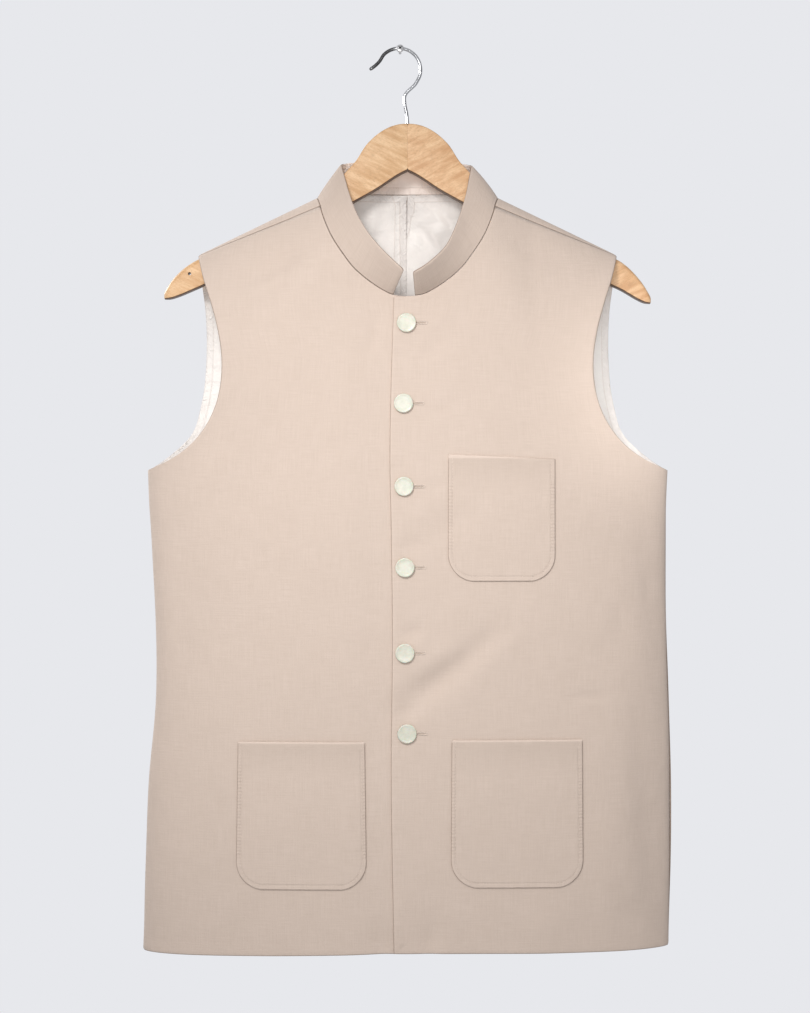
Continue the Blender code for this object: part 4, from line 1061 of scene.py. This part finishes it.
def collar_patch(side):
    """The collar from the middle of the back to one front end."""
    end = COLLAR_END_RIGHT if side == RIGHT else COLLAR_END_LEFT
    spots, feet, normals = [], [], []
    for x, z, facing in neck_edge(side):
        push = underlap_inset(x) if side == RIGHT and facing == FRONT else 0.0
        foot, normal = cloth(side, facing, x, z, push)
        if facing == FRONT and x < end.foot_x:
            share = (spots[-1][0] - end.foot_x) / (spots[-1][0] - x)
            spots.append((end.foot_x, facing))
            feet.append(feet[-1] + (foot - feet[-1]) * share)
            normals.append(normals[-1] + (normal - normals[-1]) * share)
            break
        spots.append((x, facing))
        feet.append(foot)
        normals.append(normal)
    feet, normals = np.array(feet), np.array(normals)
    keys = lengths_along(feet)
    total = keys[-1]
    row_keys, row_tops = [], []
    for row in COLLAR_ROWS + [end]:
        near = sorted((spot[0], key) for spot, key in zip(spots, keys) if spot[1] == row.facing)
        row_keys.append(np.interp(row.foot_x, *zip(*near)))
        top = row.right if side == RIGHT else row.left
        row_tops.append((side * top[0], top[1], top[2]))
    end_height = np.linalg.norm(np.array(row_tops[-1]) - feet[-1])
    even_rows = np.linspace(*COLLAR_EVEN_ROWS, COLLAR_ROWS_UP)
    shares_up = np.concatenate(([0.0], even_rows, COLLAR_LAST_ROWS))
    points, ways, weave = [], [], []
    for share_up in shares_up:
        near_corner = max(0.0, 1 - (1 - share_up) * end_height / COLLAR_CORNER)
        set_back = COLLAR_CORNER * (1 - math.sqrt(1 - near_corner**2))
        at = keys * (1 - set_back / total)
        foot, panel = between_points(at, keys, feet), between_points(at, keys, normals)
        panel = unit(panel)
        rise = smooth_curve(row_keys, row_tops, at) - foot
        run = between_points(np.minimum(total, at + COLLAR_RUN), keys, feet)
        run -= between_points(np.maximum(0.0, at - COLLAR_RUN), keys, feet)
        out = np.cross(rise, run)
        out[0, 0] = 0.0  # the halves meet square at the middle of the back
        out = unit(out) * np.sign(np.sum(out * panel, axis=1, keepdims=True))
        bend = smooth_step(0.0, COLLAR_BEND_END, share_up)
        ways.append(unit(panel * (1 - bend) + out * bend))
        lift = unit(rise) * COLLAR_SEAM_GAP
        ripple = np.sin(keys / COLLAR_RIPPLE_RUN + side) * np.sin(np.pi * share_up)
        ripple *= COLLAR_RIPPLE * (keys > 0)
        bulge = out * (COLLAR_BULGE * 4 * share_up * (1 - share_up) + ripple)[:, None]
        points.append(foot + lift + (rise - lift) * share_up + bulge)
        height = np.linalg.norm(rise, axis=1) * share_up
        weave.append(np.stack((side * keys, height), axis=-1))
    points, ways = np.array(points), np.array(ways)
    outer, inner = rolled(points, ways, COLLAR_CLOTH, ("last_row", "last_column"))
    # The grid runs the other way round from a panel's, so that its side is turned
    return Patch(-side, outer, inner, np.array(weave))


collar_patches = [collar_patch(side) for side in SIDES]
collar = make_wall("cloth_collar", collar_patches, shaded_collar_suiting, collar_satin_painted_light)


# The pockets
def panel_point(side, x, z):
    """A front's outer face at a place counted from the garment's middle."""
    inset = underlap_inset(side * x) if side == RIGHT else 0.0
    return cloth(side, np.full(np.shape(x), FRONT), side * x, z, inset)


def pocket_place(pocket, across, up):
    """A pocket's x and z from shares of its width, -1 to 1, and height, with round corners."""
    height = up * pocket.height
    half = (pocket.width + (pocket.top_width - pocket.width) * up) / 2
    below = np.maximum(0.0, pocket.corner - height)
    half -= pocket.corner - np.sqrt(pocket.corner**2 - below**2)
    x = pocket.centre_x + half * across
    return x, pocket.top_z - pocket.height + height - pocket.tilt * up * across


def pocket_puff(across, up):
    """How far a pocket stands off its front, most in its middle."""
    rise = np.sin(np.pi * np.clip(up * POCKET_PUFF_RUN, 0, 1))
    return POCKET_GAP + POCKET_CLOTH + POCKET_PUFF * (1 - across**4) * rise


def make_pocket(pocket):
    low = pocket.corner / pocket.height
    turns = np.linspace(0.0, np.pi / 2, POCKET_CORNER_ROWS)
    even_rows = np.linspace(low, POCKET_ROWS_END, POCKET_ROWS)[1:]
    ups = np.concatenate((low * (1 - np.cos(turns)), even_rows, POCKET_LAST_ROWS))
    even_columns = np.linspace(-POCKET_COLUMNS_END, POCKET_COLUMNS_END, POCKET_COLUMNS)
    last_columns = np.array(POCKET_LAST_COLUMNS)
    acrosses = np.concatenate((-last_columns[::-1], even_columns, last_columns))
    across, up = np.meshgrid(acrosses, ups)
    x, z = pocket_place(pocket, across, up)
    points, normals = panel_point(pocket.side, x, z)
    gape = POCKET_GAPE * smooth_step(POCKET_GAPE_START, 1.0, up) * (1 - across**4)
    points = points + normals * (pocket_puff(across, up) + gape)[..., None]
    edges = ("first_row", "last_row", "first_column", "last_column")
    outer, inner = rolled(points, normals, POCKET_CLOTH, edges)
    above_corner = (up - low) * pocket.height * MM
    weave = np.stack((x, z - pocket.top_z, above_corner), axis=-1)
    patch = Patch(LEFT, outer, inner, weave)
    return make_wall("cloth_" + pocket.name, [patch], pocket_suiting)


# The stitching
def stitches(name, seats, material):
    """Short threads, each a seat: its middle, its way along, the way the cloth faces, its size."""
    verts, faces = [], []
    for middle, run, normal, length, radius in seats:
        run = unit(run)
        across = unit(np.cross(run, normal))
        start = len(verts)
        for place, thick, lift in STITCH_RINGS:
            centre = middle + run * place * length + normal * lift * radius
            for turn in circle(STITCH_SIDES):
                round_it = across * math.cos(turn) + normal * math.sin(turn)
                verts.append(centre + round_it * thick * radius)
        faces += ring_faces(len(STITCH_RINGS), STITCH_SIDES, start)
    points = np.array(verts) + GARMENT_CENTRE
    piece = add_object(name, make_mesh(name, points, faces, material))
    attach(piece, "root")
    return piece


def stitch_line(points, normals, lift):
    """Seats of a line of stitches along points on the cloth."""
    keys = lengths_along(points)
    seats = []
    for at in np.arange(STITCH_PITCH / 2, keys[-1], STITCH_PITCH):
        spots = np.array((at, at - STITCH_RUN, at + STITCH_RUN))
        place, before, after = between_points(spots, keys, points)
        normal = between_points(at, keys, normals)
        seats.append((place + normal * lift, after - before, normal, STITCH_LENGTH, STITCH_RADIUS))
    return seats


def pocket_seats(pocket):
    """The line of stitches just inside a pocket's sides and round its bottom."""
    inset = POCKET_STITCH_INSET
    half = pocket.width / 2 - inset
    corner = pocket.corner - inset
    bottom = pocket.top_z - pocket.height + inset
    turns = np.linspace(0, np.pi / 2, STITCH_CORNER_STEPS)
    left_x = -half + corner - corner * np.cos(turns)
    left_z = bottom + corner - corner * np.sin(turns)
    side_z = np.linspace(pocket.top_z - POCKET_STITCH_TOP, bottom + corner, STITCH_SIDE_STEPS)
    side_x = np.full(STITCH_SIDE_STEPS, half)
    x = np.concatenate((-side_x, left_x, -left_x[::-1], side_x))
    z = np.concatenate((side_z, left_z, left_z[::-1], side_z[::-1]))
    points, normals = panel_point(pocket.side, pocket.centre_x + x, z)
    share = (z - (pocket.top_z - pocket.height)) / pocket.height
    across = x / (pocket.width / 2)
    points = points + normals * pocket_puff(across, share)[:, None]
    return stitch_line(points, normals, POCKET_STITCH_LIFT)


pocket_pieces, pocket_stitches = {}, {}
for pocket in POCKETS:
    pocket_pieces[pocket.name] = make_pocket(pocket)
    seats = pocket_seats(pocket)
    pocket_stitches[pocket.name] = stitches("stitching_" + pocket.name, seats, thread)


# The buttons and their holes
def make_button(number, button, material):
    name = f"button_face_{number}"
    point, normal = panel_point(LEFT, button.x, button.z)
    seat = Vector(point + normal * BUTTON_GAP + GARMENT_CENTRE)
    turn = Vector(normal).to_track_quat("Z", "Y")
    spots = np.vstack(turned_rings(BUTTON_PROFILE, BUTTON_SIDES))
    points = [seat + turn @ Vector(spot) for spot in spots]
    # The profile runs down from the face's middle, so that the faces are turned round
    faces = ring_faces(len(BUTTON_PROFILE), BUTTON_SIDES, ends=False)
    mesh = make_mesh(name, points, [(face[0], *face[:0:-1]) for face in faces], material)
    mesh.validate()
    stands_for(add_object(name, mesh), f"button_{number}", slot="button")


def buttonhole_seats(button):
    """Close threads square to the slit, all round it."""
    places = []
    for i in range(int(BUTTONHOLE_LONG / HOLE_THREAD_PITCH) + 1):
        for away in (-HOLE_THREAD_AWAY, HOLE_THREAD_AWAY):
            places.append((i * HOLE_THREAD_PITCH, away, (0.0, 0.0, 1.0)))
    for turn in map(math.radians, HOLE_END_TURNS):
        way = math.cos(turn), 0.0, math.sin(turn)
        places.append((BUTTONHOLE_LONG + HOLE_END_LONG * way[0], HOLE_END_HIGH * way[2], way))
    seats = []
    for x, z, way in places:
        point, normal = panel_point(LEFT, button.x + x, button.z + z)
        lifted = point + normal * HOLE_THREAD_LIFT
        seats.append((lifted, np.array(way), normal, HOLE_THREAD_LONG, HOLE_THREAD_RADIUS))
    return seats


# The slit's darker thread is painted shade in the gap between its lips
def slit_seat(button):
    point, normal = panel_point(LEFT, button.x + BUTTONHOLE_LONG / 2, button.z)
    along = np.array((1.0, 0.0, 0.0))
    return point + normal * SLIT_LIFT, along, normal, BUTTONHOLE_LONG, SLIT_RADIUS


button_resin = button_look()
hole_seats, slit_shade_seats = [], []
for number, button in enumerate(BUTTONS, 1):
    make_button(number, button, button_resin)
    hole_seats += buttonhole_seats(button)
    slit_shade_seats.append(slit_seat(button))
buttonholes = stitches("buttonhole_threads", hole_seats, thread)
slits = stitches("buttonhole_slits", slit_shade_seats, slit_painted_shade)


# The hanger, its hook and the screw
def cut_out(solid, cutter):
    """The solid with the cutter's form taken out, the cut faces in the cutter's material."""
    cut = solid.modifiers.new("cut", "BOOLEAN")
    cut.operation, cut.solver, cut.material_mode = "DIFFERENCE", "EXACT", "TRANSFER"
    cut.object = cutter
    bpy.context.view_layer.update()
    depsgraph = bpy.context.evaluated_depsgraph_get()
    mesh = bpy.data.meshes.new_from_object(solid.evaluated_get(depsgraph))
    solid.modifiers.clear()
    solid.data = mesh
    bpy.data.objects.remove(cutter, do_unlink=True)


def hanger_rows():
    rows = list(HANGER)
    start = rows[-1]
    for i in range(1, HANGER_SLOPE_STEPS + 1):
        share = i / HANGER_SLOPE_STEPS
        x = start.x + (HANGER_BOTTOM_SLOPE_X - start.x) * share
        bottom = start.bottom + (HANGER_BOTTOM_SLOPE_Z - start.bottom) * share
        rows.append(HangerRow(x, float(ridge_z(x)) - HANGER_UNDER_CLOTH, bottom))
    return np.array(rows + HANGER_TIP, float)


def hanger_section(x, top, bottom):
    """Flat sides with small corners, the top quite round where the shoulder lies over it."""
    half = (top - bottom) / 2
    thick = min(HANGER_HALF_THICK, half)
    under_cloth = smooth_step(TOP_ROUND_START_X, TOP_ROUND_FULL_X, x)
    above = min(thick, half, TOP_CORNER + (HANGER_HALF_THICK - TOP_CORNER) * under_cloth)
    below = min(thick, half, BOTTOM_CORNER)
    ring = []
    for start, way_y, way_z, corner in (
        (0, 1, 1, above), (1, -1, 1, above), (2, -1, -1, below), (3, 1, -1, below),
    ):
        turns = CORNER_TURNS + start * np.pi / 2
        y = way_y * (thick - corner) + corner * np.cos(turns)
        edge_z = top - corner if way_z > 0 else bottom + corner
        ring.append(np.stack((y, edge_z + corner * np.sin(turns)), axis=-1))
    return np.vstack(ring)


def make_hanger(side, material, under):
    """One half: dark end grain at the joint, its underside darker as painted shade, and on the right
    its peg hole too.
    """
    rows = hanger_rows()
    even = np.linspace(EVEN_STATIONS_START, rows[-1, 0], EVEN_STATIONS)
    stations = np.concatenate((JOINT_STATIONS, even))
    drop = TIP_DROP[side] * smooth_step(RIDGE_TIP_X, rows[-1, 0], stations)
    tops = smooth_curve(rows[:, 0], rows[:, 1], stations) - drop
    bottoms = smooth_curve(rows[:, 0], rows[:, 2], stations) - drop
    rings = []
    for x, top, bottom in zip(stations, tops, bottoms):
        section = hanger_section(x, top, bottom)
        if x == 0.0:
            middle = section.mean(axis=0)
            away = section - middle
            section = middle + away * (1 - JOINT_GROOVE / np.linalg.norm(away, axis=1))[:, None]
        across = np.full(len(section), GARMENT_CENTRE_X + side * max(x, JOINT_GAP / 2))
        rings.append(np.column_stack((across, section)))
    last = rings[-1]
    centre = last.mean(axis=0)
    for share in TIP_CLOSING:
        rings.append(centre + (last - centre) * share + (side * (1.0 - share), 0.0, 0.0))
    word = "right" if side == RIGHT else "left"
    if side == RIGHT:
        rings = [ring[::-1] for ring in rings]
    piece = loft(f"wood_{word}", rings, material)
    piece.data.materials.append(under)
    # Painted shade on the faces that look down, dark end grain on those at the joint
    for face in piece.data.polygons:
        if face.normal.z < UNDERSIDE_SHADE_FACING or side * face.normal.x < JOINT_FACING:
            face.material_index = 1
    if side == RIGHT:
        ends = (PEG_HOLE_RADIUS, -PEG_HOLE_LONG), (PEG_HOLE_RADIUS, PEG_HOLE_LONG)
        # The peg hole's walls take the dark wood as painted shade
        cutter = loft("peg_hole", turned_rings(ends, PEG_HOLE_SIDES), under)
        lie = Vector((GARMENT_CENTRE_X + side * PEG_HOLE_X, 0.0, PEG_HOLE_Z)) * MM
        cutter.data.transform(Matrix.Translation(lie) @ Matrix.Rotation(math.radians(90), 4, "X"))
        cut_out(piece, cutter)
        piece.data.set_sharp_from_angle(angle=math.radians(SHARP_CUT))
    stands_for(piece, f"hanger_{word}", slot="wood")


def make_hook():
    arc = np.radians(np.linspace(HOOK_ARC_START, HOOK_ARC_END, HOOK_ARC_STEPS))
    arc_x = HOOK_ARC_CENTRE_X + HOOK_ARC_RADIUS * np.cos(arc)
    arc_z = WIRE_RADIUS - HOOK_ARC_RADIUS + HOOK_ARC_RADIUS * np.sin(arc)
    route = [(x, 0.0, z) for x, z in HOOK_SHANK + list(zip(arc_x, arc_z)) + HOOK_TAIL]
    keys = lengths_along(np.array(route))
    points = smooth_curve(keys, route, np.linspace(0.0, keys[-1], WIRE_STATIONS))
    radii = np.full(WIRE_STATIONS, WIRE_RADIUS)
    radii[-len(WIRE_END_SHARES) :] *= WIRE_END_SHARES
    even = (700.0, 700.0, 700.0)
    chrome = metal_look("chrome_wire", linear(216, 218, 222), 0.1, 0.26, even, CROWN_TARNISH)
    hook = make_tube("hook_wire", points, radii, WIRE_SIDES, chrome)
    stands_for(hook, "hanger_hook", slot="chrome")


def make_screw():
    """The screw's head and shank, turned and then cut with its cross, whose walls are dark as
    painted shade.
    """
    steel = metal_look("screw_zinc", linear(244, 244, 246), 0.3, 0.5, (900.0, 900.0, 900.0))
    # The cross's walls are dark as painted shade in the recess
    shadowed = metal_look("screw_recess_painted_shade", linear(40, 38, 38), 0.5, 0.7, (900.0, 900.0, 900.0))
    tilt = math.radians(SCREW_TILT)
    drop = HOOK_SEAT_GAP + SCREW_SHANK_RADIUS / math.cos(tilt)
    length = (SCREW_END_Y - SCREW_HEAD_Y) / math.cos(tilt)
    top, radius = SCREW_HEAD_HEIGHT, SCREW_HEAD_RADIUS
    shank = [
        (SCREW_SHANK_RADIUS * SCREW_END_SHARE, -length),
        (SCREW_SHANK_RADIUS, -length + SCREW_END_BEVEL),
        (SCREW_SHANK_RADIUS, 0.0),
    ]
    profile = shank + [(radius * across, top * up) for across, up in SCREW_HEAD]
    piece = loft("screw_head", turned_rings(profile, SCREW_SIDES), steel)
    for size in ((SCREW_RECESS_LONG, SCREW_RECESS_WIDE), (SCREW_RECESS_WIDE, SCREW_RECESS_LONG)):
        rings = box_rings(*size, top - SCREW_RECESS_DEEP, top + CUT_ROOM)
        cut_out(piece, loft("recess", rings, shadowed))
    piece.data.shade_smooth()
    piece.data.set_sharp_from_angle(angle=math.radians(SHARP_CUT))
    lie = Vector((0.0, SCREW_HEAD_Y, -SCREW_HEAD_Y * math.tan(tilt) - drop)) * MM
    upright = Matrix.Rotation(math.radians(90) - tilt, 4, "X")
    turn = Matrix.Rotation(math.radians(SCREW_TURN), 4, "Z")
    piece.data.transform(Matrix.Translation(lie) @ (upright @ turn))
    stands_for(piece, "wall_screw", slot="screw")


WOOD_SLOPE = 0.45  # the grain's turn down the shoulder, in radians
# The dark wood: end grain at the joint, painted shade under the hanger and in the peg hole
wood_end_grain_and_shade = wood_look("wood_end_grain_painted_shade", linear(128, 98, 76), linear(96, 70, 54), WOOD_SLOPE)
wood_right = wood_look("wood_right", linear(229, 192, 150), linear(204, 160, 114), -WOOD_SLOPE)
wood_left = wood_look("wood_left", linear(233, 195, 153), linear(204, 157, 113), WOOD_SLOPE)
make_hanger(RIGHT, wood_right, wood_end_grain_and_shade)
make_hanger(LEFT, wood_left, wood_end_grain_and_shade)
make_hook()
make_screw()

# What each cloth piece stands for
stands_for(front_right, "front_right", slot="suiting")
stands_for(front_left, "front_left", slot="suiting")
stands_for(back, "back", slot="suiting")
stands_for(lining_right, "lining_back_right", slot="satin")
stands_for(lining_left, "lining_back_left", slot="satin")
stands_for(collar, "collar", slot="suiting")
for name, piece in pocket_pieces.items():
    stands_for(piece, name, slot="suiting")

# The floor lies well below the hung garment, and the room is a plain pale one
FLOOR_Z, FLOOR_RADIUS, FLOOR_SIDES = -1550.0, 1800.0, 96
(floor_rim,) = turned_rings([(FLOOR_RADIUS, FLOOR_Z)], FLOOR_SIDES)
floor_mesh = make_mesh("floor", floor_rim, [tuple(range(FLOOR_SIDES))], floor_look())
add_object("floor", floor_mesh)

# The room is a pale wall behind the garment and a softer light from the other sides, weakest from
# the wearer's left and from below. The ranges are parts of a direction, 1 being straight that way
WALL = linear(231, 232, 236)
ROOM_FRONT, ROOM_SIDES = (0.58, 0.58, 0.59, 1.0), (0.48, 0.48, 0.49, 1.0)
ROOM_LEFT_SIDE, ROOM_BELOW = (0.38, 0.38, 0.39, 1.0), (0.40, 0.40, 0.40, 1.0)
world = bpy.data.worlds.new("room")
world.use_nodes = True
bpy.context.scene.world = world
room = Nodes(world.node_tree)
direction = room.node("ShaderNodeTexCoord").outputs["Generated"]
to_side, to_wall, up = room.parts(direction)
wall_share = room.between(to_wall, 0.74, 0.90)
side_share = room.between(room.math("ABSOLUTE", to_side), 0.25, 0.95)
around = room.mix(side_share, ROOM_FRONT, ROOM_SIDES)
around = room.tinted(around, ROOM_LEFT_SIDE, to_side, 0.35, 0.95)
around = room.tinted(around, ROOM_BELOW, up, -0.2, -0.9, 0.0, 0.4)
background = world.node_tree.nodes["Background"]
room.put(background.inputs["Color"], room.mix(wall_share, around, WALL))

# Places, aims and sizes in metres, cones in degrees, power in watts
LAMP_COLOUR = (1.0, 0.985, 0.965)
Lamp = namedtuple("Lamp", "name place aim cone size power")
LAMPS = [
    Lamp("key", (-0.27, -1.0, 0.14), (0.0, 0.0, -0.53), 58, 0.16, 37.0),
    Lamp("front_fill", (0.02, -1.25, -0.38), (0.0, 0.0, -0.35), 80, 0.25, 13.0),
    Lamp("right_fill", (0.42, -1.15, -0.16), (0.18, 0.0, -0.30), 26, 0.2, 6.0),
    Lamp("armhole_fill", (0.20, -1.3, -0.32), (0.262, 0.0, -0.32), 12, 0.05, 32.0),
    Lamp("back_fill", (-1.15, 0.8, 0.3), (0.0, 0.0, -0.45), 70, 0.25, 52.0),
]
for lamp in LAMPS:
    data = bpy.data.lights.new(lamp.name, "SPOT")
    data.energy = lamp.power
    data.color = LAMP_COLOUR
    data.spot_size, data.spot_blend = math.radians(lamp.cone), 1.0
    data.shadow_soft_size = lamp.size
    light = bpy.data.objects.new(lamp.name, data)
    bpy.context.scene.collection.objects.link(light)
    light.location = lamp.place
    way = Vector(lamp.aim) - Vector(lamp.place)
    light.rotation_euler = way.to_track_quat("-Z", "Y").to_euler()
